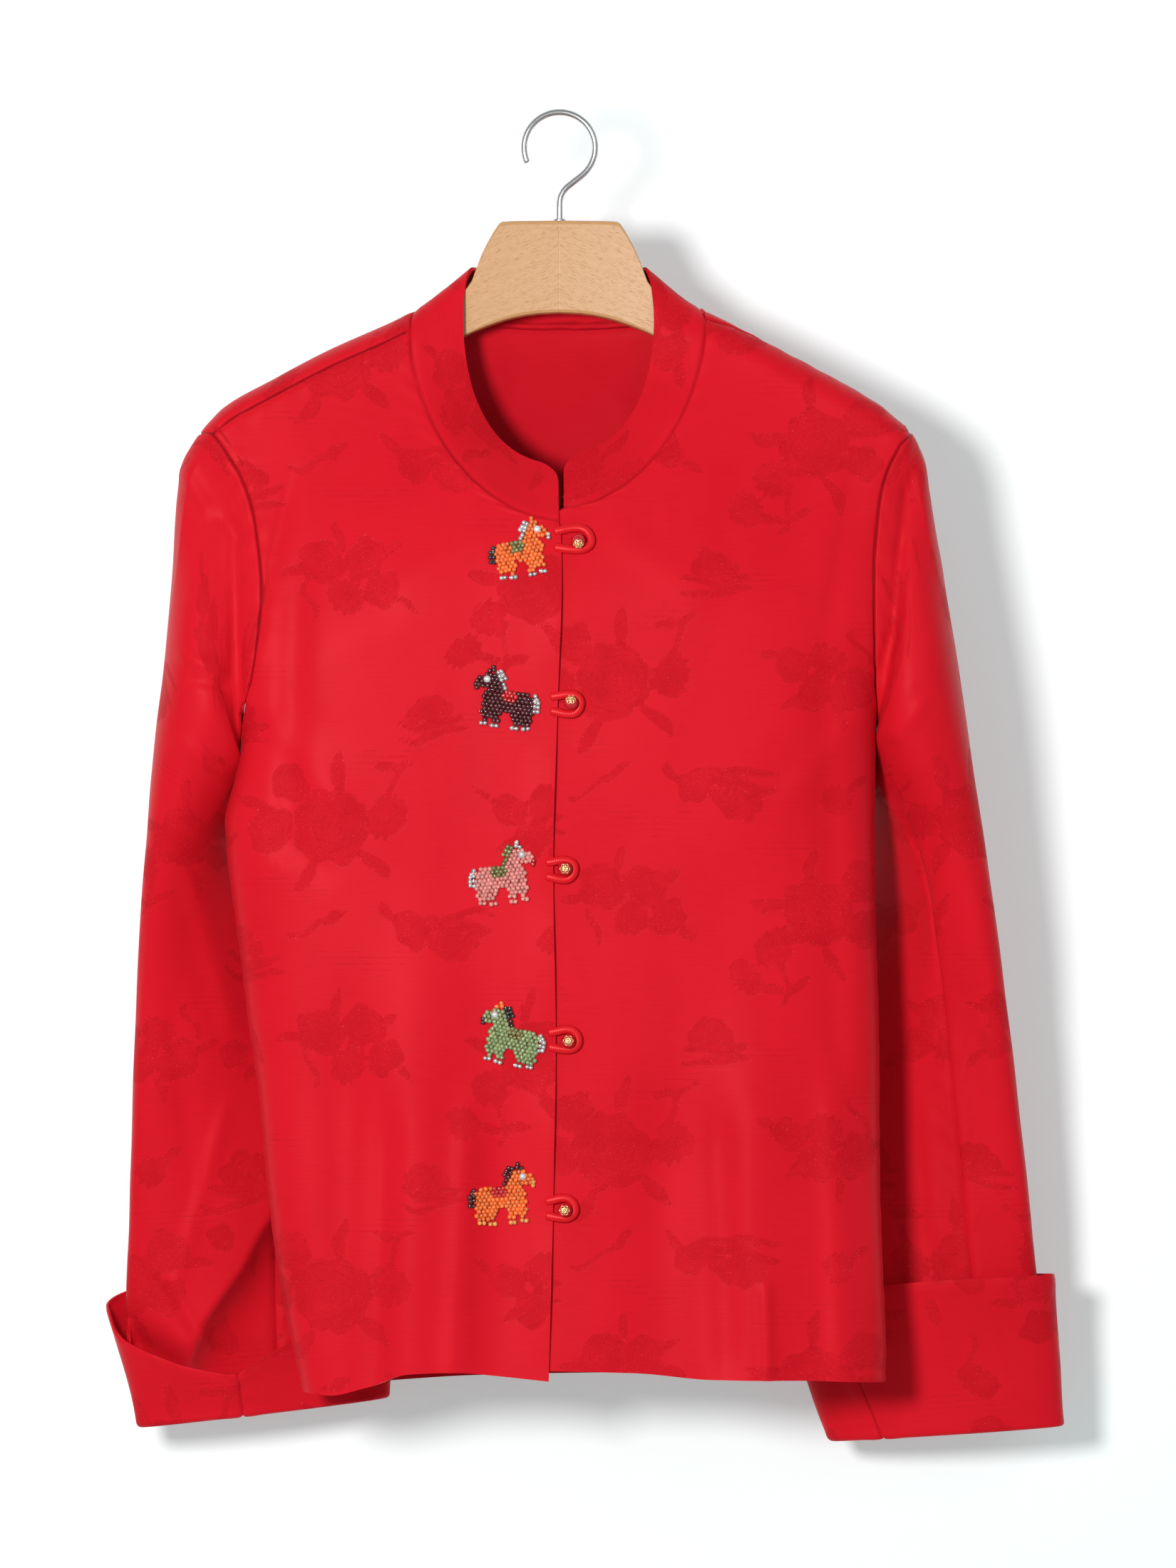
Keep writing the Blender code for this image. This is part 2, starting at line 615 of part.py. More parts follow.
def collar_top(side, angle):
    """The free edge of the collar, by the same angle as the neck seam."""
    degrees = math.degrees(angle)
    wide, drop, start = COLLAR_LEFT if side is LEFT else COLLAR_RIGHT
    y = curve_through(COLLAR_DEPTH)(degrees)
    if angle <= math.pi / 2:
        x = start + (side.sign * wide - start) * math.sin(angle) ** COLLAR_ROUNDING
        z = COLLAR_SIDE_Z - drop * math.cos(angle) ** COLLAR_ROUNDING
    else:
        x = side.sign * wide * max(math.sin(angle), 0.0) ** NECK_BACK_ROUNDING
        share = min((degrees - 90) / COLLAR_RISE_TURN, 1.0)
        z = COLLAR_SIDE_Z + COLLAR_RISE * math.sin(math.pi / 2 * share)
    return np.array([x, y, z])


def collar_grid(front_left, back, front_right):
    """Rows from the neck seam to the free edge, columns round the neck from left to right."""
    low = list(front_left[-1 - NECK_ROWS:, 0])
    angles = [(LEFT, neck_angle(k)) for k in range(NECK_ROWS + 1)]
    half = BACK_NECK_COLUMNS // 2
    for step in range(1, BACK_NECK_COLUMNS):
        low.append(back[-1, FRONT_COLUMNS + step])
        side = LEFT if step <= half else RIGHT
        share = step / half if step <= half else 2 - step / half
        angles.append((side, math.pi / 2 * (1 + share)))
    low += list(front_right[-1 - NECK_ROWS:, 0][::-1])
    angles += [(RIGHT, neck_angle(NECK_ROWS - k)) for k in range(NECK_ROWS + 1)]
    last = len(low) - 1
    grid = []
    for row in range(COLLAR_ROWS + 1):
        line = []
        for k, (foot, (side, angle)) in enumerate(zip(low, angles)):
            share = row / COLLAR_ROWS
            end = min(k, last - k)
            height = COLLAR_CORNER[end] if end < len(COLLAR_CORNER) else 1.0
            free = collar_top(side, angle)
            # The band swells a little between its seam and its free edge.
            way = np.array([0.0, -1.0 if angle < 2 else 1.0, COLLAR_SWELL_RISE])
            swell = way * COLLAR_SWELL * math.sin(math.pi * share)
            line.append(foot + (free - foot) * share * height + swell)
        grid.append(line)
    return np.array(grid)


def sleeve_loop(front, back, columns_from):
    """The armhole seam as a ring: shoulder seam, down the front, underarm, up the back."""
    down = [front[row, columns_from[0]] for row in range(len(front) - 1, SIDE_ROWS - 1, -1)]
    up = [back[row, columns_from[1]] for row in range(SIDE_ROWS + 1, len(back) - 1)]
    return np.array(down + up)


def ring_row(side, at):
    values = {}
    for k, name in enumerate(RING_COLUMNS):
        values[name] = curve_through([(i, row[k]) for i, row in enumerate(side.rings)])(at)
    return values


def ring_point(side, row, turn, grow=0.0):
    """A point of a sleeve's ring, at the angle turn round it (90 degrees is the front edge)."""
    swing = math.radians(row["turn"])
    along = np.array([side.sign * math.sin(swing), -math.cos(swing), 0.0])
    outward = np.array([side.sign * math.cos(swing), math.sin(swing), 0.0])
    centre = np.array([side.sign * row["out"], row["y"], row["z"]])
    s, c = math.sin(turn), math.cos(turn)
    point = centre + along * (row["long"] + grow) * s
    point = point + outward * (row["thick"] + grow) * math.copysign(abs(c) ** RING_SQUARENESS, c)
    return point + np.array([0.0, 0.0, row["rise"] * c + row["lean"] * s])


def ring_turns(loop):
    centre = (loop.min(axis=0) + loop.max(axis=0)) / 2
    half_y = np.ptp(loop[:, 1]) / 2
    half_z = np.ptp(loop[:, 2]) / 2
    turns = []
    for k, point in enumerate(loop):
        turn = math.atan2(-(point[1] - centre[1]) / half_y, (point[2] - centre[2]) / half_z)
        if k and turn < turns[-1] - math.pi:
            turn += 2 * math.pi
        turns.append(turn)
    return turns


def sleeve_grid(side, loop):
    """Rings from the armhole down to just above the cuff's lip."""
    turns = ring_turns(loop)
    middle = (loop.max(axis=0) + loop.min(axis=0)) / 2
    count = (len(side.rings) - 1) * RING_STEPS
    even = [turns[0] + 2 * math.pi * k / len(loop) for k in range(len(loop))]
    grid = [loop]
    for step in range(count + 1):
        row = ring_row(side, step / RING_STEPS)
        centre = np.array([side.sign * row["out"], row["y"], row["z"]])
        ease = smooth(step / count * 2.0)
        ring = []
        for k, point in enumerate(loop):
            turn = turns[k] + (even[k] - turns[k]) * ease
            new = ring_point(side, row, turn)
            new = new + (point - middle + centre - new) * max(row["keep"], 0.0)
            if side is LEFT:
                new[1] += cuff_fold(new, turn)
            ring.append(new)
        grid.append(np.array(ring))
    return np.array(grid)


def cuff_fold(point, turn):
    top_x, top_z, foot_x, foot_z, half_width, depth = CUFF_FOLD
    if math.cos(turn) > 0:
        return 0.0
    t = (top_z - point[2]) / (top_z - foot_z)
    if not -0.3 < t < 1.3:
        return 0.0
    x = top_x + (foot_x - top_x) * t
    fade = smooth(4 * t + 1) * smooth(4 * (1 - t) + 1)
    return depth * math.exp(-(((point[0] - x) / half_width) ** 2)) * fade


# Walls


def grid_normals(points, ring):
    """Outward normals of a grid whose columns may close into a ring."""
    along = np.gradient(points, axis=0)
    if ring:
        across = np.roll(points, -1, axis=1) - np.roll(points, 1, axis=1)
    else:
        across = np.gradient(points, axis=1)
    normals = np.cross(across, along)
    return normals / np.linalg.norm(normals, axis=2, keepdims=True)


def key_of(point):
    return tuple(int(round(value * 1e5)) for value in point)


class Cloth:
    """A wall of cloth made from its outside points."""

    def __init__(self, name, points, thickness, flip=False, ring=False, open_edges=(), foot_gap=1.0):
        self.name = name
        self.points = points
        self.thickness = thickness
        self.ring = ring
        self.open_edges = open_edges
        self.foot_gap = foot_gap
        self.normals = grid_normals(points, ring) * (-1 if flip else 1)
        self.flip = flip

    def border(self):
        rows, columns = self.points.shape[:2]
        for row in range(rows):
            for column in range(columns):
                if row in (0, rows - 1) or (not self.ring and column in (0, columns - 1)):
                    yield row, column


def join_seams(cloths):
    """Gives the pieces one shared direction for their walls where they meet."""
    found = {}
    for cloth in cloths:
        for row, column in cloth.border():
            key = key_of(cloth.points[row, column])
            found.setdefault(key, []).append(cloth.normals[row, column].copy())
    for cloth in cloths:
        for row, column in cloth.border():
            own = cloth.normals[row, column]
            mates = [n for n in found[key_of(cloth.points[row, column])] if np.dot(n, own) > -0.1]
            shared = np.sum(mates, axis=0)
            cloth.normals[row, column] = shared / np.linalg.norm(shared)


def wall_mesh(cloth):
    """Outside and inside points of a wall, drawn back from its seams, and its faces."""
    points, normals = cloth.points, cloth.normals
    rows, columns = points.shape[:2]
    own = grid_normals(points, cloth.ring) * (-1 if cloth.flip else 1)
    reach = np.clip(np.sum(normals * own, axis=2), 0.7, 1.0)[..., None]
    inner = points - normals * cloth.thickness / reach
    back = np.zeros_like(points)
    half = SEAM / 2 * 1.15

    def pull(index, towards, share=1.0):
        step = points[towards] - points[index]
        back[index] += share * half * step / np.maximum(np.linalg.norm(step, axis=-1, keepdims=True), 1e-9)

    if "foot" not in cloth.open_edges:
        pull(np.s_[0, :], np.s_[1, :], cloth.foot_gap)
    if "top" not in cloth.open_edges:
        pull(np.s_[rows - 1, :], np.s_[rows - 2, :])
    if not cloth.ring:
        if "first" not in cloth.open_edges:
            pull(np.s_[:, 0], np.s_[:, 1])
        if "last" not in cloth.open_edges:
            pull(np.s_[:, columns - 1], np.s_[:, columns - 2])
    vertices = np.concatenate([(points + back).reshape(-1, 3), (inner + back).reshape(-1, 3)])
    return vertices, wall_faces(rows, columns, cloth.ring, cloth.flip)


def wall_faces(rows, columns, ring, flip):
    inside = rows * columns
    wide = columns if ring else columns - 1
    faces = []
    for row in range(rows - 1):
        for column in range(wide):
            a = row * columns + column
            b = row * columns + (column + 1) % columns
            c, d = b + columns, a + columns
            faces.append((a, b, c, d))
            faces.append((inside + d, inside + c, inside + b, inside + a))
    rims = []
    for column in range(wide):
        after = (column + 1) % columns
        top = (rows - 1) * columns
        rims.append((after, column))
        rims.append((top + column, top + after))
    if not ring:
        for row in range(rows - 1):
            rims.append((row * columns, (row + 1) * columns))
            rims.append(((row + 2) * columns - 1, (row + 1) * columns - 1))
    for a, b in rims:
        faces.append((a, b, inside + b, inside + a))
    return [face[::-1] for face in faces] if flip else faces


# Objects


def make_material(name):
    colour, roughness, metallic = MATERIALS[name]
    material = bpy.data.materials.get(name)
    if material is None:
        material = bpy.data.materials.new(name)
        material.use_nodes = True
        shader = material.node_tree.nodes["Principled BSDF"]
        shader.inputs["Base Color"].default_value = (*colour, 1)
        shader.inputs["Roughness"].default_value = roughness
        shader.inputs["Metallic"].default_value = metallic
        material.diffuse_color = (*colour, 1)
    return material


def add_object(name, vertices, faces, material, is_smooth=True):
    mesh = bpy.data.meshes.new(name)
    mesh.from_pydata([tuple(map(float, v)) for v in vertices], [], [tuple(map(int, f)) for f in faces])
    mesh.validate()
    mesh.materials.append(make_material(material))
    if is_smooth:
        mesh.shade_smooth()
        mesh.set_sharp_from_angle(angle=math.radians(50))
    made = bpy.data.objects.new(name, mesh)
    bpy.context.scene.collection.objects.link(made)
    return made


def tube_rings(path, radius, sides):
    """Rings round a path, with a frame carried along it so that the tube never twists."""
    path = np.array(path, float)
    tangents = np.gradient(path, axis=0)
    tangents /= np.linalg.norm(tangents, axis=1, keepdims=True)
    up = np.cross(tangents[0], [0.0, 1.0, 0.0])
    up /= np.linalg.norm(up)
    rings = []
    for point, tangent in zip(path, tangents):
        up = up - tangent * np.dot(up, tangent)
        up /= np.linalg.norm(up)
        other = np.cross(tangent, up)
        turns = [2 * math.pi * k / sides for k in range(sides)]
        rings.append([point + radius * (up * math.cos(turn) + other * math.sin(turn)) for turn in turns])
    return np.array(rings)


def add_tube(name, path, radius, sides, material):
    rings = tube_rings(path, radius, sides)
    count = len(rings)
    faces = []
    for i in range(count - 1):
        for k in range(sides):
            a, b = i * sides + k, i * sides + (k + 1) % sides
            faces.append((a, b, b + sides, a + sides))
    faces.append(tuple(range(sides))[::-1])
    faces.append(tuple((count - 1) * sides + k for k in range(sides)))
    return add_object(name, rings.reshape(-1, 3), faces, material)


def add_loft(name, sections, material, is_smooth=True):
    """A closed solid through sections of the same count, capped at both ends."""
    count, sides = sections.shape[:2]
    faces = []
    for i in range(count - 1):
        for k in range(sides):
            a, b = i * sides + k, i * sides + (k + 1) % sides
            faces.append((a, b, b + sides, a + sides))
    faces.append(tuple(range(sides))[::-1])
    faces.append(tuple((count - 1) * sides + k for k in range(sides)))
    return add_object(name, sections.reshape(-1, 3), faces, material, is_smooth)


def tree_of(made):
    mesh = made.data
    return BVHTree.FromPolygons([v.co for v in mesh.vertices], [p.vertices for p in mesh.polygons])


def surface_y(tree, x, z):
    hit = tree.ray_cast(Vector((x, -1.0, z)), Vector((0.0, 1.0, 0.0)))[0]
    return hit.y


# Sub-parts


def build_cloth():
    left = lifted(front_grid(LEFT), LEFT)
    right = lifted(front_grid(RIGHT), RIGHT)
    back = np.array([[body_point(x, p) for x, p in line] for line in back_grid()])
    collar = collar_grid(left, back, right)
    left_loop = sleeve_loop(left, back, (-1, 0))
    right_loop = sleeve_loop(right, back, (-1, -1))
    cloths = [
        Cloth("front_over", left, WALL, flip=True, open_edges=("foot",)),
        Cloth("front_under", right, WALL, open_edges=("foot",)),
        Cloth("back", back, WALL, flip=True, open_edges=("foot",)),
        Cloth("collar", collar, COLLAR_WALL, open_edges=("top", "first", "last"), foot_gap=5.5),
        Cloth("sleeve_left", sleeve_grid(LEFT, left_loop), WALL, flip=True, ring=True, open_edges=("top",)),
        Cloth("sleeve_right", sleeve_grid(RIGHT, right_loop), WALL, ring=True, open_edges=("top",)),
    ]
    join_seams(cloths)
    build_cuff("cuff_left", LEFT, ring_turns(left_loop)[0])
    build_cuff("cuff_right", RIGHT, ring_turns(right_loop)[0])
    made = {}
    for cloth in cloths:
        vertices, faces = wall_mesh(cloth)
        made[cloth.name] = add_object(cloth.name, vertices, faces, "jacquard")
    return made


def build_cuff(name, side, first_turn):
    """A turned-back cuff: a lip under the sleeve's end, a fold at the foot and a flared outer layer."""
    count = FRONT_ARM_ROWS + BACK_ARM_ROWS
    last = len(side.rings) - 1
    low, high = ring_row(side, last), ring_row(side, last - 1)
    rise = high["z"] - low["z"]

    def frame(height):
        t = height / rise
        return {key: low[key] + (high[key] - low[key]) * t for key in RING_COLUMNS}

    sections = []
    for k in range(count):
        turn = first_turn + 2 * math.pi * k / count
        top = side.cuff_top(math.degrees(turn) % 360)
        profile = [(-SEAM - CUFF_LIP / 2, -WALL - CUFF_UNDER), (-SEAM - CUFF_LIP, CUFF_SEAT)]
        inner = []
        for i in range(CUFF_ROWS + 1):
            height = -SEAM - CUFF_LIP / 2 + (top + CUFF_LIP) * i / CUFF_ROWS
            out = CUFF_GAP + CUFF_FLARE * (i / CUFF_ROWS) ** CUFF_FLARE_POWER
            profile.append((height, out))
            inner.append((height, out - CUFF_WALL))
        inner[0] = (-SEAM, CUFF_SEAT)
        profile += inner[::-1]
        profile.append((-SEAM, -WALL - CUFF_UNDER))
        ring = [ring_point(side, frame(height), turn, out) for height, out in profile]
        sections.append(ring)
    sections = np.array(sections)
    sides = sections.shape[1]
    faces = []
    for k in range(count):
        after = (k + 1) % count
        for i in range(sides):
            j = (i + 1) % sides
            faces.append((k * sides + i, k * sides + j, after * sides + j, after * sides + i))
    if side is LEFT:
        faces = [face[::-1] for face in faces]
    return add_object(name, sections.reshape(-1, 3), faces, "jacquard")


def build_hanger():
    foot = curve_through(HANGER_FOOT)
    sections = []
    for x in [-s for s in HANGER_STATIONS[:0:-1]] + list(HANGER_STATIONS):
        out = abs(x)
        ridge = side_of(x).ridge
        under = tuple((s, ridge(s) - WALL - HANGER_GAP) for s in HANGER_SHOULDER)
        high = curve_through(HANGER_NECK + under)(out)
        low = foot(out)
        swell = HANGER_TIP_THICKNESS - HANGER_HALF_THICKNESS
        half = HANGER_HALF_THICKNESS + swell * smooth(out / HANGER_TIP)
        reach = max(out - HANGER_ROUND_FROM, 0.0) / (HANGER_TIP - HANGER_ROUND_FROM + HANGER_TIP_BLUNT)
        end = math.sqrt(max(1 - reach ** 2, 0.0))
        tall = (high - low) / 2
        middle = (high + low) / 2 + tall * (1 - end) * HANGER_TIP_RISE
        ring = []
        for k in range(HANGER_SIDES):
            turn = 2 * math.pi * k / HANGER_SIDES
            c, s = math.cos(turn), math.sin(turn)
            y = ridge_y(x) + half * end * c
            z = middle + tall * end * math.copysign(abs(s) ** HANGER_SQUARENESS, s)
            ring.append((x, y, z))
        sections.append(ring)
    return add_loft("hanger", np.array(sections), "beech")


def build_hook():
    centre_z = WIRE_RADIUS - HOOK_RADIUS
    path = [(0.0, 0.0, HANGER_NECK[0][1] + SEAM)] + [(x, 0.0, z) for x, z in SHANK]
    for k in range(CROWN_STEPS + 1):
        angle = math.radians(CROWN_FROM + (CROWN_TO - CROWN_FROM) * k / CROWN_STEPS)
        path.append((HOOK_RADIUS * math.cos(angle), 0.0, centre_z + HOOK_RADIUS * math.sin(angle)))
    return add_tube("hook", path, WIRE_RADIUS, WIRE_SIDES, "steel")


def build_ball(name, centre):
    rings, sides = 7, 12
    vertices = [(centre[0], centre[1], centre[2] - BALL_RADIUS)]
    for i in range(1, rings):
        tilt = math.pi * i / rings
        for k in range(sides):
            turn = 2 * math.pi * k / sides
            vertices.append((
                centre[0] + BALL_RADIUS * math.sin(tilt) * math.cos(turn),
                centre[1] + BALL_RADIUS * math.sin(tilt) * math.sin(turn),
                centre[2] - BALL_RADIUS * math.cos(tilt),
            ))
    vertices.append((centre[0], centre[1], centre[2] + BALL_RADIUS))
    faces = []
    for k in range(sides):
        after = (k + 1) % sides
        faces.append((0, 1 + after, 1 + k))
        top = 1 + (rings - 2) * sides
        faces.append((len(vertices) - 1, top + k, top + after))
        for i in range(rings - 2):
            a, b = 1 + i * sides + k, 1 + i * sides + after
            faces.append((a, b, b + sides, a + sides))
    return add_object(name, vertices, faces, "red_ball")


def build_cap(name, centre, direction):
    """A six-petal cap that follows the ball."""
    axis = np.array(direction, float)
    axis /= np.linalg.norm(axis)
    side = np.cross(axis, [0.0, 0.0, 1.0] if abs(axis[2]) < 0.9 else [1.0, 0.0, 0.0])
    side /= np.linalg.norm(side)
    other = np.cross(axis, side)
    count = 12
    low, high = BALL_RADIUS + SEAM, BALL_RADIUS + SEAM + CAP_THICKNESS
    vertices = [centre + axis * low, centre + axis * (high + CAP_BOSS)]
    for radius in (low, high):
        for k in range(count):
            reach = CAP_RADIUS * (1.0 if k % 2 == 0 else CAP_NOTCH) / BALL_RADIUS
            turn = 2 * math.pi * k / count
            out = side * math.cos(turn) + other * math.sin(turn)
            vertices.append(centre + radius * (axis * math.cos(reach) + out * math.sin(reach)))
    faces = []
    for k in range(count):
        a, b = 2 + k, 2 + (k + 1) % count
        faces += [(0, b, a), (1, a + count, b + count), (a, b, b + count, a + count)]
    return add_object(name, vertices, faces, "gilt")


def build_loop(name, tree, ball_x, ball_z, above, below, beside):
    """A rouleau loop from under the front edge, round the ball and back."""
    edge = placket_x(ball_z) + LOOP_EDGE_GAP
    leg = (edge + ball_x) / 2
    path = [(edge, ball_z + above * LOOP_PINCH), (leg, ball_z + above * LOOP_LEG)]
    steps = 10
    for k in range(steps + 1):
        turn = math.pi / 2 - math.pi * k / steps
        tall = above if turn > 0 else below
        path.append((ball_x + beside * math.cos(turn), ball_z + tall * math.sin(turn)))
    path += [(leg, ball_z - below * LOOP_LEG), (edge, ball_z - below * LOOP_PINCH)]
    points = [(x, surface_y(tree, x, z) - LOOP_RADIUS - LOOP_GAP, z) for x, z in path]
    return add_tube(name, points, LOOP_RADIUS, 6, "cord")


def build_motif(name, tree, x, z, size, turn, facing):
    """A padded backing in the outline of the beaded figure, laid on the front's own surface."""
    angle = math.radians(turn)
    outline = []
    for u, v in HORSE:
        u *= facing
        outline.append((
            x + size * (u * math.cos(angle) - v * math.sin(angle)),
            z + size * (u * math.sin(angle) + v * math.cos(angle)),
        ))
    if facing < 0:
        outline.reverse()
    low = [(px, surface_y(tree, px, pz) - MOTIF_GAP, pz) for px, pz in outline]
    high = [(px, y - MOTIF_THICKNESS, pz) for px, y, pz in low]
    count = len(outline)
    faces = [tuple(range(count)), tuple(range(2 * count - 1, count - 1, -1))]
    faces += [(k, count + k, count + (k + 1) % count, (k + 1) % count) for k in range(count)]
    return add_object(name, low + high, faces, "beads", is_smooth=False)


def main():
    for old in list(bpy.data.objects):
        bpy.data.objects.remove(old)
    made = build_cloth()
    build_hanger()
    build_hook()
    under, over = tree_of(made["front_under"]), tree_of(made["front_over"])
    for i, (x, z, cap, above, below, beside) in enumerate(BUTTONS, 1):
        centre = np.array([x, surface_y(under, x, z) - BALL_RADIUS - BALL_STAND, z])
        build_ball(f"ball_{i}", centre)
        build_cap(f"cap_{i}", centre, cap)
        build_loop(f"loop_{i}", under, x, z, above, below, beside)
    for i, (x, z, size, turn, facing) in enumerate(MOTIFS, 1):
        build_motif(f"motif_{i}", over, x, z, size, turn, facing)


main()
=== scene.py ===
# A red silk jacquard jacket with a stand collar, on a beech hanger: its looks.
# Metres, X to the viewer's right, Z up, the front faces -Y. The origin is the crown of the hook.
import math
import random

import bpy
import numpy as np
from mathutils import Matrix, Vector
from mathutils.bvhtree import BVHTree


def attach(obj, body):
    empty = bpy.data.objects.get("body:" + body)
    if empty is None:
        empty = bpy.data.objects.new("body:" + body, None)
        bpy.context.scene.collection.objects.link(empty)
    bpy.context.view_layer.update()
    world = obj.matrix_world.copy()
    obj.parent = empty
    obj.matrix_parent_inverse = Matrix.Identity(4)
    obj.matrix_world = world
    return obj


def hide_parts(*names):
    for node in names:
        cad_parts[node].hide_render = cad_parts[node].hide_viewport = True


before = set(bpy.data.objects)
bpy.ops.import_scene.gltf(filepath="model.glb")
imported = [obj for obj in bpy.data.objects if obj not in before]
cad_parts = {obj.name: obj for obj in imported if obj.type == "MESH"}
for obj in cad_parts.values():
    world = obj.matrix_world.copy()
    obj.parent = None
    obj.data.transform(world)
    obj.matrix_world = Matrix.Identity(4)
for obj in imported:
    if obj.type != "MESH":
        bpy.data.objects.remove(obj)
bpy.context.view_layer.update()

print("frame loaded:", len(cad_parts), "solids")

# The cut of the jacket, in the same numbers as its solids.
cut = {
    "arch": 0.016, "archShare": 0.33, "settle": 0.18, "flatness": 2.6, "edgeFlatness": 6.0,
    "shoulderForward": 0.012, "halfShoulder": 0.19,
    "lapLift": 0.0021, "lapWidth": 0.060, "lapTop": -0.20, "lapEase": 0.03,
    "underlapX": -0.0115, "wall": 0.0012, "collarWall": 0.0021,
    "sideRows": 12, "frontArmRows": 10, "backArmRows": 12, "neckRows": 9, "frontColumns": 9,
    "neckColumns": 10, "spacing": 1.5,
    # z, front, back: how far the cloth stands from the middle plane
    "depths": (
        (-0.720, 0.044, 0.022), (-0.650, 0.045, 0.025), (-0.550, 0.047, 0.031), (-0.450, 0.051, 0.038),
        (-0.350, 0.055, 0.044), (-0.250, 0.056, 0.046), (-0.100, 0.052, 0.046),
    ),
    "frontLeftHem": (
        (-0.147, -0.7180), (-0.129, -0.7192), (-0.108, -0.7143), (-0.0838, -0.7064), (-0.059, -0.7055),
        (-0.035, -0.7076), (-0.006, -0.7105),
    ),
    "frontRightHem": (
        (-0.012, -0.7046), (0.040, -0.7060), (0.085, -0.7096), (0.140, -0.7102), (0.182, -0.7120),
    ),
    "backHem": (
        (-0.147, -0.7180), (-0.080, -0.7130), (0.000, -0.7100), (0.090, -0.7100), (0.182, -0.7120),
    ),
    "placket": (
        (-0.712, -0.0060), (-0.610, -0.0034), (-0.520, -0.0020), (-0.424, -0.0034), (-0.330, -0.0008),
        (-0.260, 0.0014), (-0.240, 0.0010), (-0.229, -0.0002),
    ),
    # broad folds: side of the cloth, top x and z, foot x and z, half width, height
    "folds": (
        ("front", -0.080, -0.420, -0.086, -0.760, 0.026, 0.0060),
        ("front", -0.118, -0.470, -0.121, -0.760, 0.016, -0.0055),
        ("front", -0.030, -0.520, -0.036, -0.760, 0.020, -0.0030),
        ("front", 0.112, -0.480, 0.104, -0.760, 0.024, 0.0060),
        ("front", 0.062, -0.520, 0.055, -0.760, 0.022, -0.0040),
        ("front", 0.148, -0.250, 0.156, -0.560, 0.010, -0.0030),
        ("front", -0.146, -0.230, -0.152, -0.420, 0.010, -0.0035),
        ("back", 0.000, -0.060, 0.000, -0.420, 0.070, 0.0160),
        ("back", -0.070, -0.360, -0.062, -0.760, 0.022, 0.0050),
        ("back", -0.022, -0.400, -0.020, -0.760, 0.020, -0.0045),
        ("back", 0.050, -0.380, 0.044, -0.760, 0.024, 0.0055),
        ("back", 0.108, -0.440, 0.102, -0.760, 0.020, -0.0045),
    ),
}

# Each side as the viewer sees it: the ridge over the shoulder as x and z, half the width at each z, the armhole's
# edges as x and z, the shoulder seam as x and its place round the ridge, and the cuff's top edge round the arm
leftSide = {
    "sign": -1, "tuckIn": 0.0075, "shoulderPoint": {-1: [(-0.2025, 0.0)]},
    "ridge": (
        (0.0, -0.1035), (0.050, -0.1045), (0.070, -0.1070), (0.083, -0.1112), (0.0948, -0.1168),
        (0.130, -0.1328), (0.1604, -0.1488), (0.1884, -0.1648), (0.2032, -0.1808),
    ),
    "width": (
        (-0.720, 0.1433), (-0.700, 0.1480), (-0.650, 0.1580), (-0.600, 0.1640), (-0.550, 0.1690),
        (-0.511, 0.1745), (-0.473, 0.1790), (-0.439, 0.1835), (-0.413, 0.1868), (-0.399, 0.1878),
        (-0.3764, 0.1829), (-0.3626, 0.1798), (-0.348, 0.1788), (-0.330, 0.1830), (-0.300, 0.1885),
        (-0.268, 0.1930), (-0.230, 0.1990), (-0.200, 0.2080), (-0.180, 0.2170), (-0.105, 0.2320),
    ),
    "frontHole": (
        (0.1858, -0.1928), (0.1781, -0.2058), (0.1726, -0.2212), (0.1700, -0.2344), (0.1668, -0.2680),
        (0.1682, -0.2864), (0.1720, -0.3155), (0.1766, -0.3338), (0.1788, -0.3480),
    ),
    "backHole": (
        (0.1920, -0.1920), (0.1840, -0.2150), (0.1785, -0.2500), (0.1765, -0.2900), (0.1770, -0.3250),
        (0.1788, -0.3480),
    ),
    "seam": ((0.084, 0.76), (0.1945, 0.76)),
    # out, y, z, half length, half thickness, turn, rise, lean, share of the armhole's shape
    "rings": (
        (0.1955, -0.0080, -0.2778, 0.0360, 0.0160, 0, 0.0747, 0.0, 0.70),
        (0.1990, -0.0050, -0.2980, 0.0440, 0.0175, 0, 0.0600, 0.0, 0.35),
        (0.1990, 0.0000, -0.3250, 0.0490, 0.0213, 4, 0.0420, 0.0, 0.10),
        (0.2008, 0.0110, -0.3590, 0.0510, 0.0223, 14, 0.0240, 0.0, 0.0),
        (0.2034, 0.0240, -0.4000, 0.0520, 0.0201, 22, 0.0080, 0.0, 0.0),
        (0.1956, 0.0370, -0.4500, 0.0550, 0.0190, 42, 0.0, 0.0, 0.0),
        (0.1853, 0.0450, -0.5000, 0.0620, 0.0190, 58, 0.0, 0.0, 0.0),
        (0.1777, 0.0490, -0.5600, 0.0680, 0.0180, 70, 0.0, -0.0010, 0.0),
        (0.1732, 0.0510, -0.6200, 0.0725, 0.0170, 78, 0.0, -0.0040, 0.0),
        (0.1725, 0.0530, -0.6700, 0.0745, 0.0170, 83, 0.0, -0.0070, 0.0),
        (0.1690, 0.0540, -0.7320, 0.0700, 0.0160, 86, 0.0, -0.0080, 0.0),
    ),
    "cuffTop": (
        (0, 0.080), (45, 0.074), (90, 0.0640), (110, 0.0487), (131, 0.0380), (153, 0.0270), (169, 0.0222),
        (172, 0.0236), (182, 0.0315), (193, 0.0380), (230, 0.0660), (270, 0.084), (315, 0.083), (360, 0.080),
    ),
}

